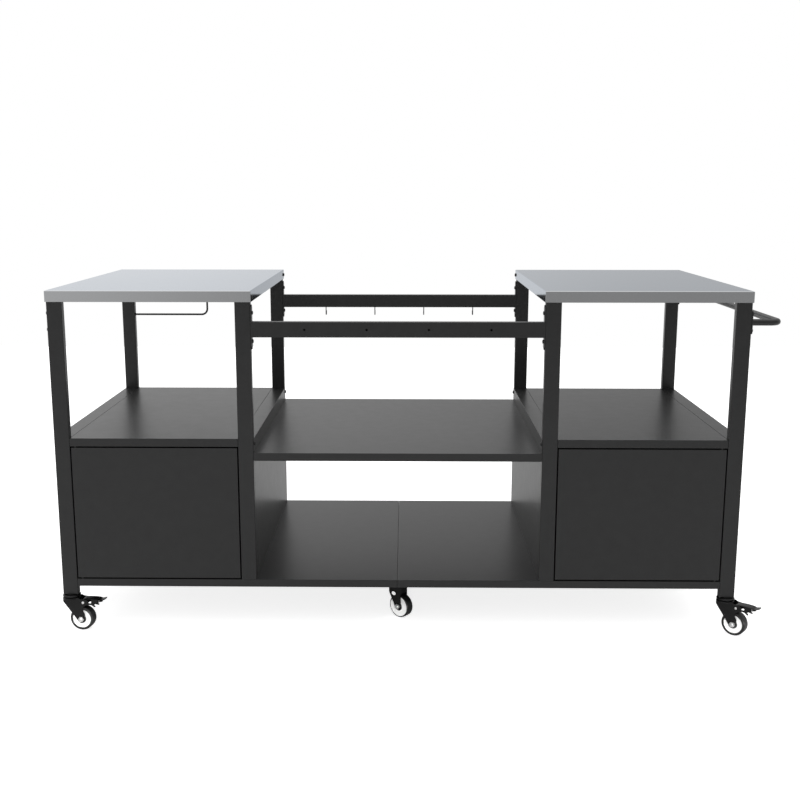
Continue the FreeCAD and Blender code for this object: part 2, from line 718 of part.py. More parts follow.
def make_hinge_pins():
    """A pin up from the base and one down from the shelf for each door, with thrust collars."""
    master = new_body("hinge_pin")
    profile = sketch(master, "profile", "XZ_Plane")
    radius = f"{Z.hinge_pin_dia} / 2"
    collar = f"{Z.door_gap} - {Z.fit_gap}"
    outline(profile, [
        ("0", f"0 - {Z.hinge_reach}"),
        (radius, f"0 - {Z.hinge_reach}"),
        (radius, "0"),
        (f"{Z.hinge_collar_dia} / 2", "0"),
        (f"{Z.hinge_collar_dia} / 2", collar),
        (radius, collar),
        (radius, f"{Z.door_gap} + {Z.hinge_reach}"),
        ("0", f"{Z.door_gap} + {Z.hinge_reach}"),
    ])
    revolve(master, profile, "V_Axis", "turned_pin")
    copies = []
    for _, side in SIDES:
        x = number(f"{CENTRE_X} + {side} * {HINGE_X}")
        y = number(HINGE_Y)
        low = Placement(Vector(x, y, number(Z.base_top)), Rotation())
        high = Placement(Vector(x, y, number(SHELF_BOTTOM)), Rotation(Vector(1, 0, 0), 180))
        for spot in (low, high):
            copy = master.Shape.copy()
            copy.Placement = spot.multiply(master.Shape.Placement)
            copies.append(copy)
    piece = doc.addObject("Part::Feature", "door_hinge_pins")
    piece.Label = "door_hinge_pins"
    piece.Shape = Part.makeCompound(copies)
    piece.Placement = Placement()
    return keep(piece)


def make_latches():
    """Push latch under each shelf's front return: a housing and the plunger that meets the door."""
    master = new_body("latch_housing")
    front = f"(0 - {DOOR_BACK} + {Z.latch_setback})"
    block = sketch(master, "outside", "XZ_Plane")
    rectangle(block, Z.latch_width, Z.latch_height)
    pad(master, block, Z.latch_length, "block", backwards=True)
    round_edges(master, f"{Z.latch_height} / 6", "moulded_edges", lambda edge: (
        runs_along(edge, 1) and edge.BoundBox.ZMax < 0))
    bore = sketch(master, "bore", "XZ_Plane")
    circle(bore, f"{Z.plunger_dia} + 2 * {Z.run_gap}")
    depth = f"{Z.plunger_length} - {Z.latch_setback} + {Z.plunger_stroke} + 2 * {Z.fit_gap}"
    pocket(master, bore, depth, "plunger_bore")
    group("latch_housings", master, [
        (f"{side} * {LATCH_X}", front, LATCH_Z, "0") for _, side in SIDES])
    for name, side in SIDES:
        body = new_body(f"latch_plunger_{name}")
        profile = sketch(body, "profile", "YZ_Plane")
        radius = f"{Z.plunger_dia} / 2"
        tip = f"{radius} / 2"
        outline(profile, [
            ("0", "0"),
            ("0", f"{radius} - {tip}"),
            (tip, radius),
            (Z.plunger_length, radius),
            (Z.plunger_length, "0"),
        ])
        revolve(body, profile, "H_Axis", "turned_plunger")
        tip_y = f"(0 - {DOOR_BACK} + {Z.fit_gap})"
        place(body, f"{side} * {LATCH_X}", tip_y, LATCH_Z)
        keep(body)


def make_crossbar(name, end):
    """Tube across the bay with a bolted plate welded on each end and a row of hook holes."""
    body = new_body(f"crossbar_{name}")
    plate = Z.end_plate_sheet
    length = f"(2 * ({BAY_FACE} - {plate}))"
    rise = f"({END_PLATE_Z} - {BAR_Z})"
    tube = sketch(body, "tube_section", "YZ_Plane")
    rectangle(tube, Z.bar_depth, Z.bar_height)
    pad(body, tube, length, "tube", side="Symmetric")
    round_edges(body, Z.post_corner, "corners", lambda edge: runs_along(edge, 0))
    bore = sketch(body, "bore", "YZ_Plane")
    wall = f"2 * {Z.post_wall}"
    rectangle(bore, f"{Z.bar_depth} - {wall}", f"{Z.bar_height} - {wall}")
    pocket(body, bore, length, "hollow", side="Symmetric")
    for side_name, side in SIDES:
        face = f"{side} * {BAY_FACE}"
        drawing = sketch(body, f"plate_{side_name}", "YZ_Plane", face)
        corner = Z.end_plate_corner
        half_y = f"({Z.post_depth} / 2)"
        half_z = f"({Z.end_plate_height} / 2)"
        outline(drawing, [
            (f"0 - {half_y} + {corner}", f"{rise} - {half_z}"),
            (f"{half_y} - {corner}", f"{rise} - {half_z}"),
            (half_y, f"{rise} - {half_z} + {corner}"),
            (half_y, f"{rise} + {half_z} - {corner}"),
            (f"{half_y} - {corner}", f"{rise} + {half_z}"),
            (f"0 - {half_y} + {corner}", f"{rise} + {half_z}"),
            (f"0 - {half_y}", f"{rise} + {half_z} - {corner}"),
            (f"0 - {half_y}", f"{rise} - {half_z} + {corner}"),
        ])
        pad(body, drawing, plate, f"end_plate_{side_name}", backwards=side > 0)
        spots = [("0", f"{level} - {BAR_Z}") for level in PLATE_BOLTS]
        middle = f"{side} * ({BAY_FACE} - {plate} / 2)"
        bored(body, Z.bolt_dia, spots, "YZ_Plane", middle, f"2 * {plate}", f"bolt_holes_{side_name}")
    hook_spots = [(f"{step} * {Z.hook_pitch}", "0") for step in HOOK_STEPS]
    wall_y = f"({Z.bar_depth} - {Z.post_wall}) / 2"
    bored(body, Z.hook_hole_dia, hook_spots, "XZ_Plane", wall_y, wall, "hook_holes")
    place(body, "0", f"{end} * {POST_Y}", BAR_Z, "180" if end > 0 else "0")
    return keep(body)


HOOK_STEPS = (-1.5, -0.5, 0.5, 1.5)


def make_hooks():
    """Wire hooks pushed into the rear crossbar's holes, hanging down behind it."""
    master = new_body("wire_hook")
    foot = sketch(master, "wire_section", "XZ_Plane")
    circle(foot, Z.hook_wire_dia)
    spine = sketch(master, "wire_line", "YZ_Plane")
    out = f"({Z.post_wall} + {Z.hook_standoff} + {Z.post_corner})"
    count = bent_spine(spine, [
        ("0", "0"),
        (out, "0"),
        (out, f"0 - {Z.hook_drop}"),
        (f"{out} + {Z.hook_width}", f"0 - {Z.hook_drop}"),
        (f"{out} + {Z.hook_width}", f"{Z.hook_lip} - {Z.hook_drop}"),
    ], Z.hook_bend)
    pipe(master, foot, spine, count, "wire")
    flange = sketch(master, "shoulder_section", "XZ_Plane", f"0 - {Z.post_wall}")
    circle(flange, f"{Z.hook_hole_dia} + {Z.hook_wire_dia}")
    pad(master, flange, Z.post_wall, "shoulder", backwards=True)
    plug = sketch(master, "plug_section", "XZ_Plane")
    circle(plug, Z.hook_hole_dia)
    pad(master, plug, Z.post_wall, "plug", backwards=True)
    start = f"({FRONT_FACE} - {Z.post_wall})"
    return group("utensil_hooks", master, [
        (f"{step} * {Z.hook_pitch}", start, BAR_Z, "0") for step in HOOK_STEPS])


def make_roll_rod():
    """Steel rod under the left worktop for a roll of paper, turned up at its free end."""
    body = new_body("roll_holder_rod")
    section = sketch(body, "rod_section", "YZ_Plane")
    circle(section, Z.rod_dia)
    spine = sketch(body, "rod_line", "XZ_Plane")
    count = bent_spine(spine, [
        ("0", "0"),
        (Z.rod_reach, "0"),
        (Z.rod_reach, Z.rod_upturn),
    ], Z.rod_bend)
    pipe(body, section, spine, count, "rod")
    collar = sketch(body, "collar_section", "YZ_Plane", Z.post_wall)
    circle(collar, Z.rod_collar_dia)
    pad(body, collar, Z.rod_collar_length, "collar")
    place(body, f"0 - {CABINET_HIGH} - {Z.post_wall}", POST_Y, ROD_Z)
    return keep(body)


def make_handle():
    """Push handle: a bent tube welded between two plates that bolt to the right outer posts."""
    body = new_body("push_handle")
    centre = f"({Z.handle_reach} - {Z.handle_dia} / 2)"
    section = sketch(body, "tube_section", "YZ_Plane", Z.handle_plate_sheet)
    circle(section, Z.handle_dia, f"0 - {POST_Y}", "0")
    spine = sketch(body, "tube_line", "XY_Plane")
    count = bent_spine(spine, [
        (Z.handle_plate_sheet, f"0 - {POST_Y}"),
        (centre, f"0 - {POST_Y}"),
        (centre, POST_Y),
        (Z.handle_plate_sheet, POST_Y),
    ], Z.handle_bend)
    pipe(body, section, spine, count, "tube")
    for name, end in ENDS:
        plate = sketch(body, f"plate_{name}", "YZ_Plane")
        rectangle(plate, Z.post_depth, Z.handle_plate_height, f"{end} * {POST_Y}")
        pad(body, plate, Z.handle_plate_sheet, f"plate_pad_{name}")
    high = number(f"{Z.handle_plate_height} / 2")
    round_edges(body, f"{Z.post_depth} / 4", "plate_corners", lambda edge: (
        runs_along(edge, 0) and abs(abs(edge.BoundBox.ZMax) - high) < 1e-4))
    spots = []
    for _, end in ENDS:
        for level in HANDLE_BOLTS:
            spots.append((f"{end} * {POST_Y}", f"{level} - {HANDLE_Z}"))
    bored(body, Z.bolt_dia, spots, "YZ_Plane", f"{Z.handle_plate_sheet} / 2",
          f"2 * {Z.handle_plate_sheet}", "bolt_holes")
    place(body, OUTER_FACE, "0", HANDLE_Z)
    return keep(body)


def make_bolts():
    """Dome-headed socket bolts, all alike, wherever two pieces are bolted through a post."""
    master = new_body("dome_bolt")
    profile = sketch(master, "profile", "XY_Plane")
    head = f"({Z.bolt_head_dia} / 2)"
    rise = Z.bolt_head_height
    outline(profile, [
        (f"0 - {Z.bolt_length}", "0"),
        (f"0 - {Z.bolt_length}", f"{Z.bolt_dia} / 2"),
        ("0", f"{Z.bolt_dia} / 2"),
        ("0", head),
        (f"{rise} / 3", head),
        (f"{rise} * 0.8", f"{head} * 0.75"),
        (rise, f"{head} / 2"),
        (rise, "0"),
    ])
    revolve(master, profile, "H_Axis", "turned_bolt")
    socket = sketch(master, "socket", "YZ_Plane", rise)
    hexagon(socket, Z.socket_size)
    pocket(master, socket, f"{rise} / 2", "hex_socket")
    spots = []
    for _, side in SIDES:
        for _, end in ENDS:
            y = f"{end} * {POST_Y}"
            inward = "0" if side < 0 else "180"
            outward = "180" if side < 0 else "0"
            plate_face = f"{side} * ({BAY_FACE} - {Z.end_plate_sheet})"
            for level in PLATE_BOLTS:
                spots.append((plate_face, y, level, inward))
            upstand_face = f"{side} * ({BAY_FACE} - {Z.sheet})"
            spots.append((upstand_face, y, UPSTAND_BOLT_Z, inward))
            spots.append((f"{side} * {Z.bay_width} / 2", y, WORKTOP_BOLT_Z, inward))
            padding = Z.handle_plate_sheet if side > 0 else "0"
            for level in HANDLE_BOLTS:
                spots.append((f"{side} * ({OUTER_FACE} + {padding})", y, level, outward))
    return group("dome_bolts", master, spots)


CASTORS = (
    ("front_left", f"(0 - {OUTER_POST_X})", f"(0 - {POST_Y})", f"(0 - {Z.front_left_turn})", True),
    ("front_middle", "0", f"(0 - {MIDDLE_CASTOR_Y})", f"(0 - {Z.middle_turn})", False),
    ("front_right", OUTER_POST_X, f"(0 - {POST_Y})", f"(0 - {Z.front_right_turn})", True),
    ("rear_left", f"(0 - {OUTER_POST_X})", POST_Y, Z.front_left_turn, True),
    ("rear_middle", "0", MIDDLE_CASTOR_Y, Z.middle_turn, False),
    ("rear_right", OUTER_POST_X, POST_Y, Z.front_right_turn, True),
)


def make_castor_stems():
    """Threaded stem, bearing cup and riveted kingpin of each castor, turned as one piece."""
    master = new_body("castor_stem")
    profile = sketch(master, "profile", "XZ_Plane")
    cup_top = f"(0 - {Z.collar_height})"
    cup_low = f"({cup_top} - {Z.race_height})"
    rim = f"({Z.crown_dia} / 2)"
    crown_low = f"(0 - {Z.crown_top_gap} - {Z.crown_thickness} - {Z.fit_gap})"
    outline(profile, [
        ("0", Z.stem_length),
        (f"{Z.stem_dia} / 2", Z.stem_length),
        (f"{Z.stem_dia} / 2", "0"),
        (f"{Z.collar_dia} / 2", "0"),
        (f"{Z.collar_dia} / 2", cup_top),
        (f"{rim} - {Z.race_height} / 3", cup_top),
        (rim, f"{cup_top} - {Z.race_height} / 3"),
        (rim, f"{cup_low} + {Z.race_height} / 4"),
        (f"{rim} - {Z.race_height} / 4", cup_low),
        (f"{Z.kingpin_dia} / 2 + {Z.race_height}", cup_low),
        (f"{Z.kingpin_dia} / 2", f"0 - {Z.crown_top_gap} + {Z.fit_gap}"),
        (f"{Z.kingpin_dia} / 2", crown_low),
        (f"{Z.rivet_dia} / 2", crown_low),
        (f"{Z.rivet_dia} / 2", f"{crown_low} - {Z.rivet_height} / 2"),
        (f"{Z.kingpin_dia} / 2", f"{crown_low} - {Z.rivet_height}"),
        ("0", f"{crown_low} - {Z.rivet_height}"),
    ])
    revolve(master, profile, "V_Axis", "turned_stem")
    return group("castor_stems", master, [
        (x, y, Z.castor_height, "0") for _, x, y, _, _ in CASTORS])


def fork_outline(trail, braked):
    """Side view of a fork's plate: down to the boss at the axle, and up to its arm if it has one."""
    boss = f"({Z.fork_boss_dia} / 2)"
    half, drop = Z.crown_half_length, Z.arm_drop
    arm_low = f"({CROWN_TOP} - {drop})"
    slope = math.radians(54 if braked else 62)
    tangent = (f"{trail} - {boss} * {math.sin(slope):.4f}", f"{WHEEL_R} - {boss} * {math.cos(slope):.4f}")
    if not braked:
        edge = f"({trail} + 0.75 * {boss})"
        return [
            (f"0 - 0.9 * {half}", CROWN_TOP),
            (f"0 - 0.9 * {half}", f"{CROWN_TOP} - 1.15 * {drop}"),
            tangent,
            (f"{trail} + {boss}", WHEEL_R),
            (edge, f"{WHEEL_R} + 1.2 * {boss}"),
            (edge, CROWN_TOP),
        ]
    return [
        (f"0 - {half}", CROWN_TOP),
        (f"0 - {half}", f"{CROWN_TOP} - 0.6 * {drop}"),
        tangent,
        (f"{trail} + {boss}", WHEEL_R),
        (f"{trail} + 0.9 * {boss}", f"{WHEEL_R} + 1.5 * {boss}"),
        (f"{trail} + 0.6 * {boss}", f"{arm_low} - {drop}"),
        (f"{trail} + 0.6 * {boss}", f"{arm_low} - 0.55 * {drop}"),
        (f"{trail} + {boss}", f"{arm_low} - 0.2 * {drop}"),
        (f"{trail} + 1.7 * {boss}", arm_low),
        (ARM_X, f"{arm_low} - 0.05 * {drop}"),
        (f"{ARM_X} - 0.08 * {drop}", f"{arm_low} + 0.5 * {drop}"),
        (f"{ARM_X} - 0.3 * {drop}", f"{arm_low} + 0.75 * {drop}"),
        (f"{Z.crown_dia} / 2 + {drop} / 4", f"{CROWN_TOP} - {drop} / 6"),
        (f"{Z.crown_dia} / 2", CROWN_TOP),
    ]


def make_fork(name, x, y, turn, braked):
    """Pressed fork: a round crown, two side plates that narrow to the axle, and the axle's bolt.

    A braked fork's plates run on behind the wheel as the two arms that carry the pedal."""
    body = new_body(f"castor_fork_{name}")
    trail = Z.brake_trail if braked else Z.plain_trail
    side_view = sketch(body, "side_view", "XZ_Plane")
    outline(side_view, fork_outline(trail, braked))
    pad(body, side_view, f"2 * {FORK_OUTER}", "side_plates", side="Symmetric")
    boss_view = sketch(body, "boss_view", "XZ_Plane")
    circle(boss_view, Z.fork_boss_dia, trail, WHEEL_R)
    pad(body, boss_view, f"2 * {FORK_OUTER}", "axle_bosses", side="Symmetric")
    crown = sketch(body, "crown_view", "XY_Plane", CROWN_TOP)
    circle(crown, Z.crown_dia)
    pad(body, crown, Z.crown_thickness, "crown", backwards=True)
    gap = sketch(body, "wheel_gap", "YZ_Plane")
    rectangle(gap, f"2 * {FORK_INNER}", CROWN_BOTTOM, "0", f"{CROWN_BOTTOM} / 2")
    pocket(body, gap, f"4 * {ARM_X}", "wheel_space", side="Symmetric")
    if braked:
        pedal_gap = sketch(body, "pedal_gap", "XY_Plane", CROWN_TOP)
        start = f"({Z.crown_dia} / 2)"
        rectangle(pedal_gap, ARM_X, f"2 * {FORK_INNER}", f"{start} + {ARM_X} / 2")
        pocket(body, pedal_gap, Z.crown_thickness, "pedal_space")
    else:
        window = (f"0 - {Z.window_dia} / 9", f"({CROWN_BOTTOM} + {WHEEL_R}) / 2 + 0.62 * {Z.window_dia}")
        bored(body, Z.window_dia, [window], "XZ_Plane", "0", f"4 * {FORK_OUTER}", "windows")
    bore = f"{Z.kingpin_dia} + 2 * {Z.run_gap}"
    bored(body, bore, [("0", "0")], "XY_Plane", CROWN_TOP, f"4 * {Z.crown_thickness}", "kingpin_hole")
    axle = sketch(body, "axle_section", "XZ_Plane")
    circle(axle, Z.axle_dia, trail, WHEEL_R)
    pad(body, axle, f"2 * {FORK_OUTER}", "axle_bolt", side="Symmetric")
    head = sketch(body, "bolt_head_view", "XZ_Plane", f"0 - {FORK_OUTER}")
    hexagon(head, Z.nut_size, trail, WHEEL_R)
    pad(body, head, f"{Z.nut_length} / 2", "bolt_head", backwards=True)
    nut = sketch(body, "nut_view", "XZ_Plane", FORK_OUTER)
    hexagon(nut, Z.nut_size, trail, WHEEL_R)
    pad(body, nut, f"0.6 * {Z.nut_length}", "nut")
    dome = sketch(body, "dome_view", "XZ_Plane", FORK_OUTER)
    circle(dome, f"0.9 * {Z.nut_size}", trail, WHEEL_R)
    pad(body, dome, Z.nut_length, "nut_dome")
    if braked:
        pin = sketch(body, "pedal_pin_view", "XZ_Plane")
        circle(pin, f"{Z.pedal_hub_dia} / 2", PIVOT_X, PIVOT_Z)
        pad(body, pin, f"2 * {FORK_OUTER}", "pedal_pin", side="Symmetric")
        for side_name, side in (("near", 1), ("far", -1)):
            head = sketch(body, f"pin_head_{side_name}", "XZ_Plane", f"{side} * {FORK_OUTER}")
            circle(head, Z.pivot_head_dia, PIVOT_X, PIVOT_Z)
            pad(body, head, Z.pivot_head_height, f"pin_rivet_{side_name}", backwards=side < 0)
    place(body, x, y, "0", turn)
    return keep(body)


def mirrored(points):
    """A closed section about the wheel's mid plane, from its half on the positive side."""
    return points + [(f"0 - ({x})", y) for x, y in reversed(points)]


def make_wheel(name, x, y, turn, braked):
    """White moulded core with a raised hub, and the black tyre round it."""
    trail = Z.brake_trail if braked else Z.plain_trail
    angle = f"({turn})"
    centre_x = f"{x} + {trail} * cos({angle} * 1deg)"
    centre_y = f"{y} + {trail} * sin({angle} * 1deg)"
    half = f"({Z.wheel_width} / 2)"
    rubber = Z.tyre_thickness if braked else Z.plain_tyre_thickness
    rim = f"({WHEEL_R} - {rubber})"
    hub = f"({Z.hub_dia} / 2)"
    core = new_body(f"wheel_core_{name}")
    profile = sketch(core, "profile", "YZ_Plane")
    outline(profile, mirrored([
        (HUB_HALF, f"{Z.axle_dia} / 2 + {Z.run_gap}"),
        (HUB_HALF, hub),
        (half, hub),
        (f"{half} - {Z.core_recess}", f"{hub} + {Z.core_recess}"),
        (f"{half} - {Z.core_recess}", f"{rim} - 2 * {Z.core_recess}"),
        (half, f"{rim} - {Z.core_recess}"),
        (half, rim),
    ]))
    revolve(core, profile, "H_Axis", "moulded_core")
    tyre = new_body(f"wheel_tyre_{name}")
    profile = sketch(tyre, "profile", "YZ_Plane")
    tread = f"({half} - {Z.tyre_round})"
    outline(profile, mirrored([
        (half, rim),
        (half, f"{WHEEL_R} - {Z.tyre_round}"),
        (f"{half} - {Z.tyre_round} * 0.3", f"{WHEEL_R} - {Z.tyre_round} * 0.3"),
        (tread, WHEEL_R),
    ]))
    revolve(tyre, profile, "H_Axis", "moulded_tyre")
    for piece in (core, tyre):
        place(piece, centre_x, centre_y, WHEEL_R, turn)
        keep(piece)


# side view of the brake pedal: along its length and up in hub radii, both from its pivot
TREAD = (
    (-0.07, 1.7), (0.04, 2.1), (0.31, 2.33), (0.53, 2.29), (0.70, 2.04), (0.79, 1.69), (1.0, 2.44),
)
CHEEKS = (
    (0.0, -1.0), (0.22, -1.45), (0.38, -1.65), (0.52, -2.95), (0.57, -2.6), (0.50, -1.3), (0.56, -0.85),
    (0.735, -1.25), (0.765, -0.65), (0.66, 0.1), (0.87, 0.85), (0.82, 1.45), (0.70, 1.8), (0.53, 2.1),
    (0.37, 2.15), (0.37, -0.1), (0.33, -0.5), (0.26, -0.5), (0.08, 0.3), (0.0, 1.0),
)


def make_pedal(name, x, y, turn):
    """Brake pedal: a curved tread over two cheeks with release tabs, and the nose that locks.

    Its own frame has the swivel axis as origin and the floor at zero, as the fork's."""
    body = new_body(f"brake_pedal_{name}")
    hub = f"({Z.pedal_hub_dia} / 2)"
    wide = f"({Z.pedal_width})"
    thick = Z.pedal_sheet

    def spot(along, up):
        return f"{PIVOT_X} + {along} * {Z.pedal_length}", f"{PIVOT_Z} + {up} * {hub}"

    cheeks = sketch(body, "cheek_view", "XZ_Plane")
    outline(cheeks, [spot(*point) for point in CHEEKS])
    pad(body, cheeks, wide, "cheeks", side="Symmetric")
    slot = sketch(body, "slot_view", "XZ_Plane")
    rectangle(slot, f"0.15 * {Z.pedal_length}", f"0.3 * {hub}", *spot(0.71, 1.1))
    pocket(body, slot, f"2 * {wide}", "cheek_slots", side="Symmetric")
    between = sketch(body, "between_cheeks", "YZ_Plane")
    rectangle(between, f"{wide} - 2 * {thick}", f"2 * {PIVOT_Z}", "0", PIVOT_Z)
    pocket(body, between, f"4 * {Z.pedal_length} + 4 * {PIVOT_X}", "open_middle", side="Symmetric")
    tread = sketch(body, "tread_view", "XZ_Plane")
    top = [spot(*point) for point in TREAD]
    outline(tread, top + [(along, f"{up} - {thick}") for along, up in reversed(top)])
    pad(body, tread, wide, "tread", side="Symmetric")
    nose = sketch(body, "nose_view", "XZ_Plane")
    rise = f"({PIVOT_Z} - {WHEEL_R})"
    lean = math.atan2(number(Z.pivot_past_axle), number(rise))
    swing = f"({math.degrees(lean):.3f} - {Z.pedal_travel})"
    reach = f"(sqrt({Z.pivot_past_axle} ^ 2 + {rise} ^ 2) - {WHEEL_R} - {Z.nose_gap})"
    nose_x = f"{PIVOT_X} - {reach} * sin({swing} * 1deg)"
    nose_z = f"{PIVOT_Z} - {reach} * cos({swing} * 1deg)"
    outline(nose, [
        (f"{PIVOT_X} - {hub}", PIVOT_Z),
        (f"{nose_x} - {hub} / 2", nose_z),
        (f"{nose_x} + {hub} / 2", nose_z),
        (f"{PIVOT_X} + {hub}", PIVOT_Z),
    ])
    pad(body, nose, f"{wide} / 2", "lock_nose", side="Symmetric")
    knuckle = sketch(body, "knuckle_view", "XZ_Plane")
    circle(knuckle, Z.pedal_hub_dia, PIVOT_X, PIVOT_Z)
    pad(body, knuckle, wide, "knuckle", side="Symmetric")
    web = sketch(body, "web_view", "XZ_Plane")
    rectangle(web, hub, f"1.6 * {hub}", PIVOT_X, f"{PIVOT_Z} + {hub}")
    pad(body, web, wide, "web", side="Symmetric")
    bore = f"{Z.pedal_hub_dia} / 2 + 2 * {Z.run_gap}"
    bored(body, bore, [(PIVOT_X, PIVOT_Z)], "XZ_Plane", "0", f"2 * {wide}", "pivot_hole")
    place(body, x, y, "0", turn)
    return keep(body)


def make_table():
    for name, side in SIDES:
        make_worktop(name, side)
    make_stiffeners()
    make_posts()
    for name, side in SIDES:
        make_base_panel(name, side)
    make_centre_beam()
    for name, side in SIDES:
        outer_turn = "0" if side < 0 else "180"
        inner_turn = "180" if side < 0 else "0"
        make_side_panel(f"side_panel_outer_{name}", f"{side} * {OUTER_POST_X}",
                        BASE_BOTTOM, outer_turn)
        make_side_panel(f"side_panel_inner_{name}", f"{side} * {INNER_POST_X}",
                        Z.base_top, inner_turn)
        make_side_shelf(name, side)
        make_back_panel(name, side)
        make_door(name, side)
    make_hinge_pins()
    make_latches()
    make_mid_shelf()
    for name, end in ENDS:
        make_crossbar(name, end)
    make_hooks()
    make_roll_rod()
    make_handle()
    make_bolts()
    make_castor_stems()
    for name, x, y, turn, braked in CASTORS:
        make_fork(name, x, y, turn, braked)
        make_wheel(name, x, y, turn, braked)
        if braked:
            make_pedal(name, x, y, turn)


def check_and_write():
    """Every feature has to be sound before any node is written."""
    doc.recompute()
    for item in doc.Objects:
        if "Invalid" in item.State or "Error" in item.State:
            raise RuntimeError(f"{item.Name} failed: {item.State}")
    for piece in nodes:
        shape = piece.Shape
        if shape.isNull() or not shape.isValid() or shape.Volume <= 0:
            raise RuntimeError(f"{piece.Label} has no sound shape")
    os.makedirs("parts", exist_ok=True)
    for piece in nodes:
        piece.Shape.exportStep(f"parts/{piece.Label}.step")
    print(len(nodes), "nodes,", sum(len(piece.Shape.Solids) for piece in nodes), "solids")


make_table()
check_and_write()
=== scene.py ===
import json
import math

import bpy
import numpy as np
from mathutils.geometry import tessellate_polygon
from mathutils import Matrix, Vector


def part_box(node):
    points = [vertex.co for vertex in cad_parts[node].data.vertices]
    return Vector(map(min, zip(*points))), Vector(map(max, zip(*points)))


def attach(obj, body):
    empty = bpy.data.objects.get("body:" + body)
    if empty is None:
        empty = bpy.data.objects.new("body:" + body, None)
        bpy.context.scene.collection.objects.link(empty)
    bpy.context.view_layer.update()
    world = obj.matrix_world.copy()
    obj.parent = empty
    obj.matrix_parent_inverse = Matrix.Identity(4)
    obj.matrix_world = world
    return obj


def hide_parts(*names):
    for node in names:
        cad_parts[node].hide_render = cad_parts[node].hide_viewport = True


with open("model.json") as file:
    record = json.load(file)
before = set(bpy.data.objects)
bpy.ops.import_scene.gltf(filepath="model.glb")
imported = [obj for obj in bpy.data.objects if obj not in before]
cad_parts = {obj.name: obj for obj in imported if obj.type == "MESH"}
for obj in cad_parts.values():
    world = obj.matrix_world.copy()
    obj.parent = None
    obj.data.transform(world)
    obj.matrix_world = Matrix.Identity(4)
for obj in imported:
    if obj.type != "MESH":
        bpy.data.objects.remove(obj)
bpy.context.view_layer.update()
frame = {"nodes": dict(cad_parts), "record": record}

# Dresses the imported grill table: finishes for every steel sheet, tube and casting, rounded folds,
# turned, bent and pressed pieces in place of the faceted ones, and the studio with its camera.
# The scene is in metres. The shapes below are worked out in millimetres and scaled as they go in.


# finishes

def new_material(name):
    """An empty node material: returns it with its tree, its Principled shader and a node maker."""
    material = bpy.data.materials.new(name)
    material.use_nodes = True
    tree = material.node_tree
    shader = tree.nodes["Principled BSDF"]

    def node(kind, **settings):
        made = tree.nodes.new(kind)
        for key, value in settings.items():
            if key in made.inputs:
                made.inputs[key].default_value = value
            else:
                setattr(made, key, value)
        return made

    return material, tree, shader, node


def stretched(tree, node, scale=(1, 1, 1), along_folds=False):
    """Object coordinates, or the map that follows the folds, stretched by a Mapping."""
    place = node("ShaderNodeTexCoord")
    stretch = node("ShaderNodeMapping")
    stretch.inputs["Scale"].default_value = scale
    tree.links.new(place.outputs["UV" if along_folds else "Object"], stretch.inputs["Vector"])
    return stretch.outputs["Vector"]


def noise(tree, node, vector, scale, detail, roughness=0.5):
    """Noise between 0 and 1 over a vector."""
    made = node("ShaderNodeTexNoise", Scale=scale, Detail=detail, Roughness=roughness)
    tree.links.new(vector, made.inputs["Vector"])
    return made.outputs["Fac"]


def spread(tree, node, value, low, high):
    """Maps 0..1 to low..high."""
    made = node("ShaderNodeMapRange")
    made.inputs["To Min"].default_value = low
    made.inputs["To Max"].default_value = high
    tree.links.new(value, made.inputs["Value"])
    return made.outputs["Result"]


def two_tone(tree, node, value, dark, light):
    """Maps the middle half of 0..1 to the colours from dark to light."""
    ramp = node("ShaderNodeValToRGB")
    for stop, position, colour in zip(ramp.color_ramp.elements, (0.25, 0.75), (dark, light)):
        stop.position = position
        stop.color = (*colour, 1)
    tree.links.new(value, ramp.inputs["Fac"])
    return ramp.outputs["Color"]


def bump(tree, node, shader, height, strength, distance):
    """Lets a height tilt the shader's normal."""
    made = node("ShaderNodeBump", Strength=strength, Distance=distance)
    tree.links.new(height, made.inputs["Height"])
    tree.links.new(made.outputs["Normal"], shader.inputs["Normal"])


def powder_coat(name, dark, light, gloss):
    """Baked powder: a fine orange peel, a little mottling in the colour and the sheen."""
    material, tree, shader, node = new_material(name)
    space = stretched(tree, node)
    peel = noise(tree, node, space, 900.0, 3.0)
    mottle = noise(tree, node, space, 35.0, 4.0)
    tree.links.new(two_tone(tree, node, mottle, dark, light), shader.inputs["Base Color"])
    sheen = spread(tree, node, mottle, gloss - 0.03, gloss + 0.03)
    tree.links.new(sheen, shader.inputs["Roughness"])
    bump(tree, node, shader, peel, 0.12, 0.0003)
    return material


def brushed_stainless(name, along_folds):
    """Satin stainless: long fine scratches along the sheet, faint cloudy bands across them."""
    material, tree, shader, node = new_material(name)
    shader.inputs["Metallic"].default_value = 1.0
    shader.inputs["Specular Tint"].default_value = (0.79, 0.83, 0.885, 1)
    scratches = stretched(tree, node, (1.5, 900.0, 900.0), along_folds)
    grain = noise(tree, node, scratches, 3.0, 4.0, 0.7)
    cloud = noise(tree, node, stretched(tree, node, (1.0, 5.0, 5.0), along_folds), 2.5, 3.0)
    tone = two_tone(tree, node, cloud, (0.581, 0.589, 0.600), (0.606, 0.614, 0.625))
    tree.links.new(tone, shader.inputs["Base Color"])
    tree.links.new(spread(tree, node, grain, 0.07, 0.13), shader.inputs["Roughness"])
    bump(tree, node, shader, grain, 0.03, 0.0001)
    return material


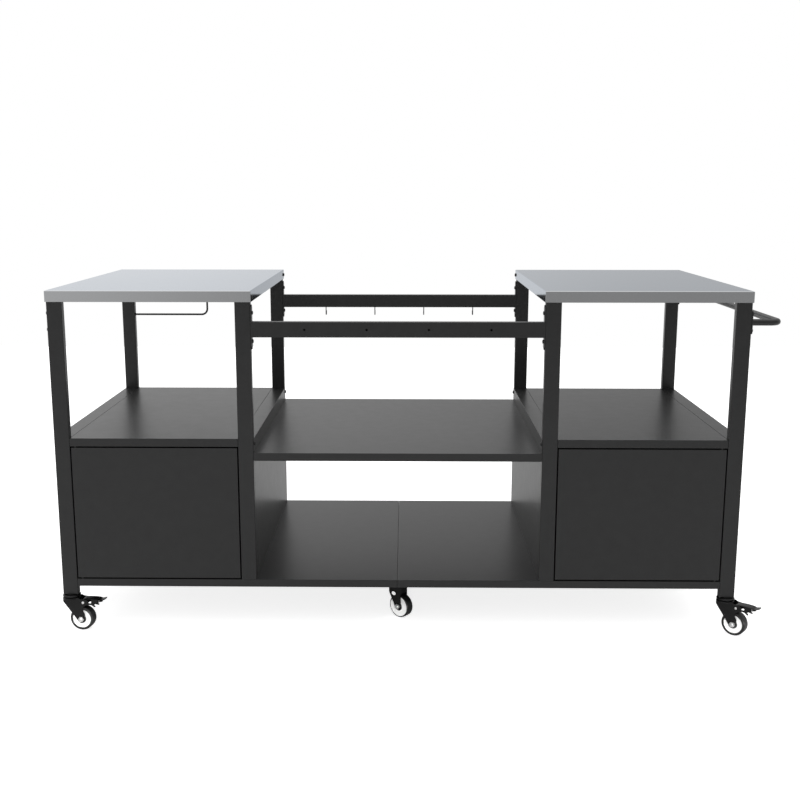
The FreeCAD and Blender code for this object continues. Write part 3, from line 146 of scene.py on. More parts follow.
def smooth_coat(name, dark, light, gloss, metallic=0.0, shine=0.5):
    """Plated, sprayed or moulded: nearly even, with faint pits and a soft change of sheen."""
    material, tree, shader, node = new_material(name)
    shader.inputs["Metallic"].default_value = metallic
    shader.inputs["Specular IOR Level"].default_value = shine
    space = stretched(tree, node)
    patch = noise(tree, node, space, 90.0, 3.0)
    pits = noise(tree, node, space, 1500.0, 2.0)
    tree.links.new(two_tone(tree, node, patch, dark, light), shader.inputs["Base Color"])
    sheen = spread(tree, node, patch, gloss - 0.05, gloss + 0.05)
    tree.links.new(sheen, shader.inputs["Roughness"])
    bump(tree, node, shader, pits, 0.08, 0.0002)
    return material


black_coat = powder_coat("black powder coat", (0.0135, 0.0135, 0.0137), (0.0178, 0.0178, 0.0180),
                         0.33)
stainless = brushed_stainless("brushed stainless sheet", True)
stainless_channel = brushed_stainless("stainless channel", False)
black_fitting = smooth_coat("black fitting", (0.008, 0.008, 0.0085), (0.012, 0.012, 0.0125), 0.35)
castor_paint = smooth_coat("castor black", (0.004, 0.004, 0.004), (0.006, 0.006, 0.006), 0.24,
                           shine=0.3)
latch_plastic = smooth_coat("latch plastic", (0.030, 0.030, 0.032), (0.038, 0.038, 0.040), 0.55)
white_nylon = smooth_coat("white nylon", (0.90, 0.90, 0.89), (0.94, 0.94, 0.93), 0.35)
hub_plastic = smooth_coat("grey hub cap", (0.050, 0.050, 0.052), (0.065, 0.065, 0.068), 0.45)
tyre_rubber = smooth_coat("black tyre", (0.006, 0.006, 0.006), (0.010, 0.010, 0.010), 0.40)
bright_zinc = smooth_coat("bright zinc", (0.86, 0.86, 0.85), (0.93, 0.93, 0.92), 0.30,
                          metallic=1.0)

FINISHES = {
    "black_powder_coat": black_coat,
    "stainless_sheet": stainless_channel,
    "black_fittings": black_fitting,
    "castor_black": castor_paint,
    "latch_plastic": latch_plastic,
    "wheel_white": white_nylon,
    "tyre_black": tyre_rubber,
}

for entry in frame["record"]["subparts"]:
    node_object = frame["nodes"][entry["node"]]
    node_object.data.materials.clear()
    node_object.data.materials.append(FINISHES[entry["material_slot"]])


# outlines and lines

def unit(arrows):
    """Each row scaled to a length of one."""
    return arrows / np.linalg.norm(arrows, axis=1)[:, None]


def corner_arcs(corners, back, ahead, radii, steps):
    """The arcs that round corners, and how far from its corner each arc begins and ends.

    back and ahead are the directions from a corner along its two sides. The arc touches both. Its
    centre lies on the corner's bisector, radius / sin(half the inner angle) away, and its points
    turn evenly from the one touching point to the other."""
    half = np.arccos(np.clip((back * ahead).sum(1), -1, 1)) / 2
    centre = corners + unit(back + ahead) * (radii / np.sin(half))[:, None]
    reach = (radii / np.tan(half))[:, None]
    start, end = corners + back * reach - centre, corners + ahead * reach - centre
    turn = (np.pi - 2 * half)[:, None]
    share = np.linspace(0, 1, steps)[None, :]
    first = (np.sin((1 - share) * turn) / np.sin(turn))[:, :, None]
    last = (np.sin(share * turn) / np.sin(turn))[:, :, None]
    return centre[:, None] + first * start[:, None] + last * end[:, None], reach


def rounded(corners, radii, steps=5):
    """A closed outline with an arc at each corner.

    A point more on each side of an arc, 1.15 times as far off as its end, keeps the sides flat."""
    corners = np.asarray(corners, float)
    radii = np.broadcast_to(np.asarray(radii, float), len(corners))
    back, ahead = (unit(np.roll(corners, way, 0) - corners) for way in (1, -1))
    arcs, reach = corner_arcs(corners, back, ahead, radii, steps)
    before, after = ((corners + side * reach * 1.15)[:, None] for side in (back, ahead))
    return np.concatenate([before, arcs, after], 1).reshape(-1, 2)


def rounded_rectangle(low, high, radius, steps=5):
    """The outline of a rectangle between two corners, its own corners rounded."""
    corners = [(low[0], low[1]), (high[0], low[1]), (high[0], high[1]), (low[0], high[1])]
    return rounded(corners, radius, steps)


def ellipse(centre, half_sizes, steps):
    """centre + (half width cos t, half height sin t) for t evenly round."""
    turn = np.arange(steps) * 2 * np.pi / steps
    return np.stack([np.cos(turn), np.sin(turn)], 1) * half_sizes + centre


def inset(outline, distance):
    """The outline moved inwards: each point goes distance along the mean normal of its two sides,
    lengthened so that the sides themselves move by the distance."""
    back = unit(outline - np.roll(outline, 1, 0))
    ahead = unit(np.roll(outline, -1, 0) - outline)
    normal = np.stack([-back[:, 1] - ahead[:, 1], back[:, 0] + ahead[:, 0]], 1)
    normal /= np.maximum(1 + (back * ahead).sum(1), 0.3)[:, None]
    return outline + distance * normal


def eased(profile, radii):
    """An open profile with its inner corners rounded."""
    steps = 4
    loop = rounded(profile, radii, steps).reshape(len(profile), steps + 2, 2)
    return np.concatenate([[profile[0]], loop[1:-1].reshape(-1, 2), [profile[-1]]])


def bent_line(corners, radius, steps=10):
    """A line through corners in space with an arc of the radius at each inner one."""
    corners = np.asarray(corners, float)
    inner = corners[1:-1]
    back, ahead = unit(corners[:-2] - inner), unit(corners[2:] - inner)
    arcs, _ = corner_arcs(inner, back, ahead, radius, steps)
    return np.concatenate([corners[:1], arcs.reshape(-1, 3), corners[-1:]])


def smooth_line(points, steps=8):
    """A smooth line through points: between two of them it is the cubic that leaves and arrives
    along the chords of their neighbours."""
    points = np.asarray(points, float)
    before = np.concatenate([points[:1], points[:-2]])
    start, end = points[:-1], points[1:]
    after = np.concatenate([points[2:], points[-1:]])
    t = np.linspace(0, 1, steps, endpoint=False)[None, :, None]
    leave, arrive = (end - before)[:, None] / 2, (after - start)[:, None] / 2
    start, end = start[:, None], end[:, None]
    line = ((2 * t ** 3 - 3 * t ** 2 + 1) * start + (t ** 3 - 2 * t ** 2 + t) * leave
            + (3 * t ** 2 - 2 * t ** 3) * end + (t ** 3 - t ** 2) * arrive)
    return np.concatenate([line.reshape(-1, points.shape[1]), points[-1:]])


# shapes, worked out as whole arrays; each is its points and its blocks of faces

def skin(rings, closed=False, capped=True):
    """A surface through rings of points, point (i, j) being point j of ring i.

    It closes round each ring, and either from the last ring to the first or with a flat face over
    the first and the last ring."""
    rings = np.asarray(rings, float)
    rows, columns = rings.shape[:2]
    row = np.arange(rows if closed else rows - 1)[:, None]
    column = np.arange(columns)[None, :]
    below, beside = (row + 1) % rows, (column + 1) % columns
    corners = (row * columns + column, row * columns + beside,
               below * columns + beside, below * columns + column)
    faces = [np.stack(corners, -1).reshape(-1, 4)]
    if capped and not closed:
        last = (rows - 1) * columns
        faces += [np.arange(columns)[None, ::-1], last + np.arange(columns)[None, :]]
    return rings.reshape(-1, 3), faces


LAID = {"z": (0, 1, 2), "y": (0, 2, 1), "x": (2, 0, 1)}


def lay(outline, height, axis="z"):
    """An outline's points put at a height on the named axis, in the plane square to it."""
    level = np.full((len(outline), 1), float(height))
    return np.concatenate([outline, level], 1)[:, LAID[axis]]


def plate(outlines, low, high, axis="z", ease=0.4):
    """A flat piece carried from low to high: the first outline is its rim, the others are holes.

    Both edges of each outline are eased by a quarter circle: it is inset by ease (1 - sin a) at
    ease (1 - cos a) from the face, a hole's the other way, and once more a little further in,
    which keeps the face flat. Both faces are filled between the outlines by triangles."""
    turn = np.linspace(0, np.pi / 2, 4)
    inwards = np.concatenate([[ease * 1.3], ease * (1 - np.sin(turn))])
    rise = np.concatenate([[0], ease * (1 - np.cos(turn))])
    levels = np.concatenate([low + rise, high - rise[::-1]])
    shifts = np.concatenate([inwards, inwards[::-1]])
    ways = [1] + [-1] * (len(outlines) - 1)
    points, faces, count = [], [], 0
    for outline, way in zip(outlines, ways):
        rings = [lay(inset(outline, way * shift), level, axis)
                 for shift, level in zip(shifts, levels)]
        spots, walls = skin(rings, capped=False)
        faces += [block[:, ::way] + count for block in walls]
        points.append(spots)
        count += len(spots)
    flat = [inset(outline, way * shifts[0]) for outline, way in zip(outlines, ways)]
    fill = np.array(tessellate_polygon([[(*spot, 0) for spot in outline] for outline in flat]))
    corners = np.concatenate(flat)[fill]
    first, second = corners[:, 1] - corners[:, 0], corners[:, 2] - corners[:, 0]
    turned_left = first[:, 0] * second[:, 1] - first[:, 1] * second[:, 0] > 0
    fill = np.where(turned_left[:, None], fill, fill[:, ::-1])
    lengths = np.array([len(outline) for outline in outlines])
    owner = np.repeat(np.arange(len(outlines)), lengths)
    firsts = np.cumsum(lengths) - lengths
    bottom = np.arange(len(owner)) + firsts[owner] * (len(levels) - 1)
    top = bottom + lengths[owner] * (len(levels) - 1)
    faces += [bottom[fill[:, ::-1]], top[fill]]
    return np.concatenate(points), faces


def slab(outline, low, high, axis="z", ease=0.4):
    """A plate without holes."""
    return plate([outline], low, high, axis, ease)


def hollow_bar(outer, inner, low, high):
    """An upright tube of any section: its two outlines from low to high, joined at the ends."""
    rings = [lay(outer, low), lay(outer, high), lay(inner, high), lay(inner, low)]
    return skin(rings, closed=True)


def turned(profile, steps=64, closed=False):
    """A profile of (radius, height) pairs turned round the Z axis: (r cos t, r sin t, h)."""
    profile = np.asarray(profile, float)
    turn = np.arange(steps) * 2 * np.pi / steps
    radius, height = profile[:, :1], np.repeat(profile[:, 1:], steps, 1)
    rings = np.stack([radius * np.cos(turn), radius * np.sin(turn), height], -1)
    return skin(rings, closed=closed)


HEAD_TURN = np.arange(48) * 2 * np.pi / 48


def head_ring(radius, height):
    """A ring round the Z axis; its radius is one number, or one for each turn of HEAD_TURN."""
    return np.stack([radius * np.cos(HEAD_TURN), radius * np.sin(HEAD_TURN),
                     np.full(len(HEAD_TURN), height)], -1)


def hexagon(across):
    """The distance from a hexagon's centre to its rim at HEAD_TURN, for its width across flats."""
    return across / 2 / np.cos((HEAD_TURN + np.pi / 6) % (np.pi / 3) - np.pi / 6)


def round_bar(line, radius, flat_normal, steps=20, tip=0.0):
    """A round bar along a line that stays in one plane.

    Ring i is the line's point i + radius (cos t n + sin t b), with n the plane's normal and b
    square to n and to the line. A tip above zero rounds the last end: over that length the rings
    shrink as a quarter circle does."""
    line = np.asarray(line, float)
    along = unit(np.gradient(line, axis=0))
    radii = np.full(len(line), float(radius))
    if tip:
        turn = np.linspace(0, 0.95, 6)[:, None] * np.pi / 2
        end = line[-1] - along[-1] * tip * (1 - np.sin(turn))
        line = np.concatenate([line[:-1], end])
        along = np.concatenate([along[:-1], np.repeat(along[-1:], len(turn), 0)])
        radii = np.concatenate([radii[:-1], radius * np.cos(turn[:, 0])])
    normal = np.asarray(flat_normal, float)
    side = unit(np.cross(along, normal))[:, None]
    turn = (np.arange(steps) * 2 * np.pi / steps)[None, :, None]
    spokes = np.cos(turn) * normal + np.sin(turn) * side
    return skin(line[:, None] + radii[:, None, None] * spokes)


TRAY_SIDES = {"+z": ((0, 1, 2), (1, 1, 1)), "-y": ((0, 2, 1), (1, 1, -1))}
SEAM = 0.7


def folded_tray(low, high, sheet, bend, lips=None, face="+z"):
    """A tray of folded sheet that fills a box, its closed side on the named face of the box.

    Rings are rounded rectangles set in from the rim: over the closed side's edge by a quarter
    circle of the bend's radius, down the wall, round the second fold into the lips where there are
    any, and back along the inside a sheet's thickness away. The walls meet in seams ground to
    their own radius. lips are the widths at the low and high end of the box's first side, then of
    its second, and "lip" stands for them in the list of rings."""
    order, sign = TRAY_SIDES[face]
    ends = np.stack([low, high])[:, order] * sign
    low, high = ends.min(0), ends.max(0)
    top, floor = high[2], low[2]
    turn = np.linspace(0, np.pi / 2, 6)
    out, down = bend * (1 - np.sin(turn)), bend * (1 - np.cos(turn))
    edge = 0.2
    inner = max(bend - sheet, edge)
    flat = 0.15 * bend
    rings = [(bend + flat, top)]
    rings += [(away, top - fall) for away, fall in zip(out, down)]
    rings += [(0, top - bend - flat)]
    if lips is None:
        rings += [(0, floor + 2 * edge), (0, floor + edge), (edge, floor), (sheet - edge, floor),
                  (sheet, floor + edge)]
    else:
        rings += [(0, floor + bend + flat)]
        rings += [(away, floor + fall) for away, fall in zip(out[::-1], down[::-1])]
        rings += [(bend + flat, floor), ("lip", floor), ("lip", floor + sheet)]
        rings += [(sheet + inner, floor + sheet), (sheet, floor + sheet + inner)]
    rings += [(sheet, top - sheet - inner), (sheet + inner, top - sheet),
              (sheet + 2 * inner, top - sheet)]
    loops = []
    for away, height in rings:
        away = np.asarray(lips, float) if isinstance(away, str) else np.full(4, float(away))
        loop = rounded_rectangle((low[0] + away[0], low[1] + away[2]),
                                 (high[0] - away[1], high[1] - away[3]),
                                 max(SEAM - away.min(), edge))
        loops.append(lay(loop, height))
    points, faces = skin(loops)
    return (points * sign)[:, np.argsort(order)], faces


TIPPED = {"y": (1, 2, 0), "x": (2, 0, 1)}


def tipped(part, axis, offset, backwards=False):
    """A part made round Z laid over so that its Z runs along the named axis, or against it."""
    points, faces = part
    if backwards:
        points = points * (1, -1, -1)
    return points[:, TIPPED[axis]] + np.asarray(offset, float), faces


def moved(part, offset, turn):
    """A part turned about Z by degrees and then shifted."""
    points, faces = part
    c, s = math.cos(math.radians(turn)), math.sin(math.radians(turn))
    spin = np.array([[c, s, 0], [-s, c, 0], [0, 0, 1]])
    return points @ spin + np.asarray(offset, float), faces


# pieces

def volume(points, faces):
    """Six times the volume that the faces enclose, by tetrahedra from the first point."""
    total = 0.0
    for polygons in faces:
        corners = points[polygons] - points[0]
        for step in range(1, polygons.shape[1] - 1):
            normals = np.cross(corners[:, step], corners[:, step + 1])
            total += np.einsum("ij,ij->", corners[:, 0], normals)
    return total


def fold_map(mesh):
    """Lays a flat map on the mesh that follows its folds, in metres, the sheet's length first.

    Faces that look along X take (z, y), those that look along Y (x, z), the others (x, y)."""
    corner_count, face_count = len(mesh.loops), len(mesh.polygons)
    spots = np.empty(len(mesh.vertices) * 3, np.float32)
    mesh.vertices.foreach_get("co", spots)
    owner = np.empty(corner_count, np.int32)
    mesh.loops.foreach_get("vertex_index", owner)
    normals = np.empty(face_count * 3, np.float32)
    mesh.polygons.foreach_get("normal", normals)
    sizes = np.empty(face_count, np.int32)
    mesh.polygons.foreach_get("loop_total", sizes)
    facing = np.repeat(np.abs(normals.reshape(-1, 3)).argmax(1), sizes)
    picked = np.array([[2, 1], [0, 2], [0, 1]])[facing]
    flat = np.take_along_axis(spots.reshape(-1, 3)[owner], picked, 1)
    mesh.uv_layers.new(name="folds").data.foreach_set("uv", flat.ravel())


def new_object(name, data):
    """An object of its data, in the scene at the origin."""
    made = bpy.data.objects.new(name, data)
    bpy.context.collection.objects.link(made)
    return made


SHARP_FROM = math.radians(35)


def piece(name, parts, finish, body, slot, *stands_for):
    """Joins parts into one mesh, faces outwards, and gives it its finish and body; slot is not
    used.
    """
    points, faces, count = [], [], 0
    for spots, blocks in parts:
        if volume(spots, blocks) < 0:
            blocks = [block[:, ::-1] for block in blocks]
        faces += [block + count for block in blocks]
        points.append(spots)
        count += len(spots)
    mesh = bpy.data.meshes.new(name)
    mesh.from_pydata((np.concatenate(points) * 0.001).tolist(), [],
                     [polygon for block in faces for polygon in block.tolist()])
    mesh.polygons.foreach_set("use_smooth", np.ones(len(mesh.polygons), bool))
    mesh.set_sharp_from_angle(angle=SHARP_FROM)
    fold_map(mesh)
    mesh.materials.append(finish)
    made = new_object(name, mesh)
    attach(made, body)
    if stands_for:
        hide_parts(*stands_for)


def corners_of(node):
    """The lowest and highest corner of a CAD node, in millimetres."""
    low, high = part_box(node)
    return np.array(low) * 1000, np.array(high) * 1000


# sizes that the shapes share, in millimetres; X is measured from the table's middle plane

CENTRE_X = -39.375
OUTER_FACE, BAY_FACE = 897.5, 376.2
POST_X, POST_Y = 877.5, 368.0
TABLE_TOP = 915.0
CROSSBAR_Z, HANDLE_Z = TABLE_TOP - 93.5, TABLE_TOP - 79.3
CROSSBAR_PLATE, HANDLE_PLATE = 3.0, 3.0
SHELF_TOP, SHELF_RIM = 491.6, 529.3
SIDES = (("left", -1), ("right", 1))
ENDS = (("front", -1), ("rear", 1))


def dress_sheet_work():
    """Worktops, shelves, base and doors as folded sheet with round folds."""
    stainless_sheet, steel_sheet = 1.2, 1.0
    worktop_bend, shelf_bend, door_bend, bay_bend = 2.0, 1.3, 1.2, 1.8
    even_lips, latch_lips, door_lips = (14, 14, 14, 14), (14, 14, 46, 14), (13, 13, 13, 13)
    nearer = np.array([0.6, 0.0, 0.0])
    for side, _ in SIDES:
        worktop, door = f"worktop_{side}", f"door_{side}"
        low, high = corners_of(worktop)
        tray = folded_tray(low, high, stainless_sheet, worktop_bend)
        piece(f"{worktop}_tray", [tray], stainless, "frame", "stainless_sheet", worktop)
        for node, lips in ((f"base_panel_{side}", even_lips), (f"side_shelf_{side}", latch_lips)):
            low, high = corners_of(node)
            tray = folded_tray(low, high, steel_sheet, shelf_bend, lips)
            piece(f"{node}_tray", [tray], black_coat, "frame", "black_powder_coat", node)
        low, high = corners_of(door)
        pan = folded_tray(low - nearer, high + nearer, steel_sheet, door_bend, door_lips, "-y")
        piece(f"{door}_pan", [pan], black_coat, door, "black_powder_coat", door)
    low, high = corners_of("mid_shelf")
    parts = [folded_tray(low, (high[0], high[1], SHELF_TOP), steel_sheet, bay_bend, even_lips)]
    overlap = 8
    upstand = rounded_rectangle((low[1], SHELF_TOP - overlap), (high[1], high[2]), 3.0)
    for inner, outer in ((low[0], low[0] + steel_sheet), (high[0] - steel_sheet, high[0])):
        parts.append(slab(upstand, inner, outer, "x", 0.3))
    piece("mid_shelf_tray", parts, black_coat, "frame", "black_powder_coat", "mid_shelf")


def dress_posts():
    """Rectangular tube with rolled corners; the outer posts have a plate inside their foot."""
    wall, foot_low, foot_high = 1.5, 0.3, 3.3
    for side, _ in SIDES:
        for end, _ in ENDS:
            for place in ("outer", "inner"):
                node = f"post_{place}_{side}_{end}"
                low, high = corners_of(node)
                outside = rounded_rectangle(low, high, 2.0)
                inside = rounded_rectangle(low[:2] + wall, high[:2] - wall, 0.8)
                parts = [hollow_bar(outside, inside, low[2], high[2])]
                if place == "outer":
                    parts.append(slab(inside, low[2] + foot_low, low[2] + foot_high))
                piece(f"{node}_tube", parts, black_coat, "frame", "black_powder_coat", node)


def dome_bolt_head():
    """A round head with a hexagon socket, its foot at zero.

    The rings follow a quarter ellipse from the rim in to the socket, then go down its hexagon."""
    head, edge, rise, flat, socket_floor = 5.25, 0.8, 3.2, 3.0, 1.5
    arc = np.linspace(0, np.pi / 2, 7)
    radii = [head, *(flat + (head - flat) * np.cos(arc))]
    heights = [0.0, *(edge + (rise - edge) * np.sin(arc))]
    rings = [head_ring(radius, height) for radius, height in zip(radii, heights)]
    socket = hexagon(4.0)
    for scale, height in ((1.05, rise), (1.0, rise - 0.15), (1.0, socket_floor)):
        rings.append(head_ring(scale * socket, height))
    return skin(rings)


def dress_bolts():
    """The same round-headed bolt at every bolted joint of the posts."""
    plate_bolt, handle_bolt, shelf_bolt = 36.75, 21.15, 13.0
    worktop_x, worktop_z = 373.7, TABLE_TOP - 15.8
    plate_levels = (CROSSBAR_Z - plate_bolt, CROSSBAR_Z + plate_bolt)
    handle_levels = (HANDLE_Z - handle_bolt, HANDLE_Z + handle_bolt)
    parts = []
    for side, way in SIDES:
        spots = [(way * (BAY_FACE - CROSSBAR_PLATE), level, -way) for level in plate_levels]
        spots += [(way * (BAY_FACE - 1.0), SHELF_RIM - shelf_bolt, -way),
                  (way * worktop_x, worktop_z, -way)]
        padding = HANDLE_PLATE if side == "right" else 0.0
        spots += [(way * (OUTER_FACE + padding), level, way) for level in handle_levels]
        for _, along in ENDS:
            for x, z, facing in spots:
                spot = (CENTRE_X + x, along * POST_Y, z)
                parts.append(tipped(dome_bolt_head(), "x", spot, facing < 0))
    piece("bolt_heads", parts, black_fitting, "frame", "black_fittings", "dome_bolts")


def dress_hooks():
    """Four hooks bent from wire, each with a round shoulder against the crossbar."""
    wire, bend, spacing, hole_z = 1.5, 5.0, 159.0, TABLE_TOP - 99.3
    start, face_y, out, down, across, up = 376.5, 378.0, 8.7, 47.0, 16.0, 13.0
    parts = []
    for step in (-1.5, -0.5, 0.5, 1.5):
        x = CENTRE_X + step * spacing
        line = bent_line([(x, start, hole_z), (x, start + out, hole_z),
                          (x, start + out, hole_z - down), (x, start + out + across, hole_z - down),
                          (x, start + out + across, hole_z - down + up)], bend)
        parts.append(round_bar(line, wire, (1, 0, 0), tip=wire))
        shoulder = turned(eased([(0.01, 0), (4.5, 0), (4.5, 1.5), (0.01, 1.5)], 0.4), 32)
        parts.append(tipped(shoulder, "y", (x, face_y, hole_z)))
    piece("wire_hooks", parts, black_fitting, "frame", "black_fittings", "utensil_hooks")


def dress_paper_rod():
    """The rod for a paper roll, bent up at its free end, with a small collar against the post."""
    radius, bend, reach, sink, up = 3.0, 18.0, 234.5, 1.5, 62.0
    x, z = CENTRE_X - 857.5, TABLE_TOP - 144.2
    line = bent_line([(x - sink, POST_Y, z), (x + reach, POST_Y, z), (x + reach, POST_Y, z + up)],
                     bend)
    collar = turned(eased([(0.01, 0), (4.2, 0), (4.2, 2.0), (0.01, 2.0)], 0.6), 40)
    parts = [round_bar(line, radius, (0, 1, 0), 24, tip=2.5), tipped(collar, "x", (x, POST_Y, z))]
    piece("paper_roll_rod", parts, black_fitting, "frame", "black_fittings", "roll_holder_rod")


def dress_handle():
    """The push handle: a bent round tube, at each end a weld bead and a plate on the post."""
    tube, reach, bend = 8.5, 82.5, 24.0
    half_width, half_height = 10, 30
    face_x = CENTRE_X + OUTER_FACE
    plate_x, grip_x = face_x + HANDLE_PLATE, face_x + reach - tube
    line = bent_line([(plate_x, -POST_Y, HANDLE_Z), (grip_x, -POST_Y, HANDLE_Z),
                      (grip_x, POST_Y, HANDLE_Z), (plate_x, POST_Y, HANDLE_Z)], bend, 16)
    parts = [round_bar(line, tube, (0, 0, 1), 36)]
    weld = turned([(tube - 0.3, 0.0), (tube + 1.3, 0.0), (tube + 1.2, 0.7), (tube + 0.7, 1.4),
                   (tube + 0.3, 2.0), (tube - 0.3, 2.2)], 36, closed=True)
    for _, along in ENDS:
        y = along * POST_Y
        outline = rounded_rectangle((y - half_width, HANDLE_Z - half_height),
                                    (y + half_width, HANDLE_Z + half_height), 5.0, 7)
        parts.append(slab(outline, face_x, plate_x, "x", 0.5))
        parts.append(tipped(weld, "x", (plate_x, y, HANDLE_Z)))
    piece("push_handle_tube", parts, black_coat, "frame", "black_powder_coat", "push_handle")


# castors; each is worked out with its swivel axis at zero, the wheel to +X and the floor at zero

SWIVEL_TOP, WHEEL_RADIUS = 100.4, 32.5
TRAIL, PLAIN_TRAIL = 29.0, 13.0
TYRE, PLAIN_TYRE = 7.5, 4.0
PLATE_IN, PLATE_OUT = 13.3, 15.3
CROWN_TOP, CROWN_RADIUS = 91.7, 23.75
AXLE_RADIUS, PIN_RADIUS = 4.0, 2.25
ACROSS_FLATS = 13.0
BORE, CORE_HALF, HUB_HALF = 4.1, 12.2, 13.0
PIVOT_X, PIVOT_Z = 35.5, 79.1
MIDDLE_Y = 265.0
CASTORS = (
    ("front_left", -POST_X, -POST_Y, -6.0, True),
    ("front_middle", 0.0, -MIDDLE_Y, -39.0, False),
    ("front_right", POST_X, -POST_Y, -39.0, True),
    ("rear_left", -POST_X, POST_Y, 6.0, True),
    ("rear_middle", 0.0, MIDDLE_Y, 39.0, False),
    ("rear_right", POST_X, POST_Y, 39.0, True),
)


def swivel_head():
    """Stem, collar, upper race, kingpin and its washer and nut as one turned profile.

    Each row is (radius, height, rounding of the corner)."""
    rows = np.array([
        (0.01, SWIVEL_TOP + 15.5, 0), (6.0, SWIVEL_TOP + 15.5, 0.8), (6.0, SWIVEL_TOP - 0.1, 0.3),
        (12.0, SWIVEL_TOP - 0.1, 0.4), (12.0, SWIVEL_TOP - 1.6, 0.3),
        (21.0, SWIVEL_TOP - 1.6, 1.6), (23.6, SWIVEL_TOP - 3.6, 1.4),
        (23.6, SWIVEL_TOP - 5.8, 1.0), (21.9, SWIVEL_TOP - 6.9, 0.6),
        (10.4, SWIVEL_TOP - 6.9, 0.3), (5.0, SWIVEL_TOP - 8.5, 0.2),
        (5.0, 86.2, 0.2), (11.0, 86.2, 0.5), (11.0, 84.6, 0.5),
        (8.2, 83.6, 0.4), (8.2, 77.6, 0.8), (5.0, 76.2, 0.6), (0.01, 76.0, 0)])
    return turned(eased(rows[:, :2], rows[:, 2]), 72)


def fork_side(braked):
    """The outline of a fork's side plate: from the crown down round the boss, and up to the arm.

    Each row is (x, z, rounding of the corner). The boss is the corner of the two lines that touch
    it, one of them upright, rounded by the boss's own radius."""
    boss, trail = 10.0, TRAIL if braked else PLAIN_TRAIL
    slope = math.radians(54 if braked else 62)
    foot = (trail + boss, WHEEL_RADIUS - boss * math.cos(slope) / (1 - math.sin(slope)), boss)
    top = CROWN_TOP - 0.3
    if braked:
        rows = [(-19.5, top, 0.5), (-19.5, 80.3, 8), foot, (39.0, 46.5, 5), (35.0, 53.7, 4),
                (35.0, 62.2, 6), (39.0, 68.9, 5), (46.0, 72.7, 6), (52.0, 71.8, 1.6),
                (50.5, 82.2, 3), (46.3, 87.0, 3), (28.5, 88.5, 3), (23.7, top, 0.5)]
    else:
        rows = [(-18.8, top, 0.5), (-18.8, 69.0, 10), foot, (23.0, 43.5, 6), (22.0, 49.5, 6),
                (22.0, top, 0.5)]
    rows = np.array(rows)
    return rounded(rows[:, :2], rows[:, 2], 12)


def crown():
    """The fork's round top with its rolled shoulder, over the kingpin's hole."""
    hole, rim, foot = 5.05, CROWN_RADIUS - 0.1, CROWN_TOP - 5
    profile = [(hole, foot), (hole, CROWN_TOP), (rim, CROWN_TOP), (rim, foot)]
    return turned(eased(profile, (0, 0.4, 2.4, 0)), 72, closed=True)


def fork_parts(braked):
    """Two pressed plates with bosses under the crown, with a web or with the pedal's pin."""
    trail = TRAIL if braked else PLAIN_TRAIL

    def cross_pin(radius, x, z):
        pin = turned([(0.01, -PLATE_OUT), (radius, -PLATE_OUT), (radius, PLATE_OUT),
                      (0.01, PLATE_OUT)], 24)
        return tipped(pin, "y", (x, 0, z))

    window = [] if braked else [ellipse((-2.4, 67.0), (7.4, 5.4), 40)]
    parts = [crown()]
    for inner, outer in ((-PLATE_OUT, -PLATE_IN), (PLATE_IN, PLATE_OUT)):
        parts.append(plate([fork_side(braked), *window], inner, outer, "y", 0.5))
    raised = [(AXLE_RADIUS, 0), (9.6, 0), (8.8, 0.9), (AXLE_RADIUS, 0.9)]
    boss = turned(eased(raised, (0, 0.2, 0.5, 0)), 40, closed=True)
    for way in (1, -1):
        parts.append(tipped(boss, "y", (trail, way * (PLATE_OUT - 0.3), WHEEL_RADIUS), way < 0))
    parts.append(cross_pin(AXLE_RADIUS, trail, WHEEL_RADIUS))
    if braked:
        parts.append(cross_pin(PIN_RADIUS, PIVOT_X, PIVOT_Z))
    else:
        web = rounded_rectangle((19.6, 69.0), (21.6, CROWN_TOP - 0.5), 0.5, 3)
        parts.append(slab(web, -PLATE_IN - 0.2, PLATE_IN + 0.2, "y", 0.2))
    return parts


def dome_nut(trail):
    """The axle's cap nut: a hexagon with its corners turned off, under a dome.

    The rings go up the hexagon's flats, across its shoulder and over the dome's quarter circle."""
    flats, dome_foot, dome, dome_rise = hexagon(ACROSS_FLATS), 4.3, 5.9, 2.7
    arc = np.linspace(0, 0.97, 8) * np.pi / 2
    rings = [(flats, 0.0), (flats, 3.6), (np.minimum(flats, 6.9), 4.1), (6.0, dome_foot)]
    rings += [(dome * math.cos(a), dome_foot + dome_rise * math.sin(a)) for a in arc]
    nut = skin([head_ring(radius, height) for radius, height in rings])
    return tipped(nut, "y", (trail, -PLATE_OUT - 0.5, WHEEL_RADIUS), True)


def bolt_head(trail):
    """The axle bolt's hexagon head, its corners turned off."""
    flats = hexagon(ACROSS_FLATS)
    rings = [(flats, 0.0), (flats, 2.7), (np.minimum(flats, 6.6), 3.2)]
    head = skin([head_ring(radius, height) for radius, height in rings])
    return tipped(head, "y", (trail, PLATE_OUT, WHEEL_RADIUS))


def pin_heads():
    """The pedal pin's two riveted heads, low domes of (radius, height)."""
    radius, edge, dome_rise = 3.5, 0.25, 0.95
    arc = np.linspace(0, 0.97, 6) * np.pi / 2
    dome = [(radius * math.cos(a), edge + dome_rise * math.sin(a)) for a in arc]
    head = turned([(radius, 0.0), *dome], 32)
    return [tipped(head, "y", (PIVOT_X, -PLATE_OUT, PIVOT_Z), True),
            tipped(head, "y", (PIVOT_X, PLATE_OUT, PIVOT_Z))]


def wheel_core(rim):
    """Moulded core between bore and rim, dished on both faces: (radius, height) across it."""
    half = [(12.6, CORE_HALF), (13.2, 11.4), (14.5, 10.9), (rim - 4.0, 10.9), (rim - 2.2, 11.3),
            (rim - 1.0, 11.9), (rim - 0.5, 12.0), (rim, 11.9)]
    profile = half + [(radius, -height) for radius, height in reversed(half)]
    return turned([(BORE, CORE_HALF), *profile, (BORE, -CORE_HALF)], 96, closed=True)


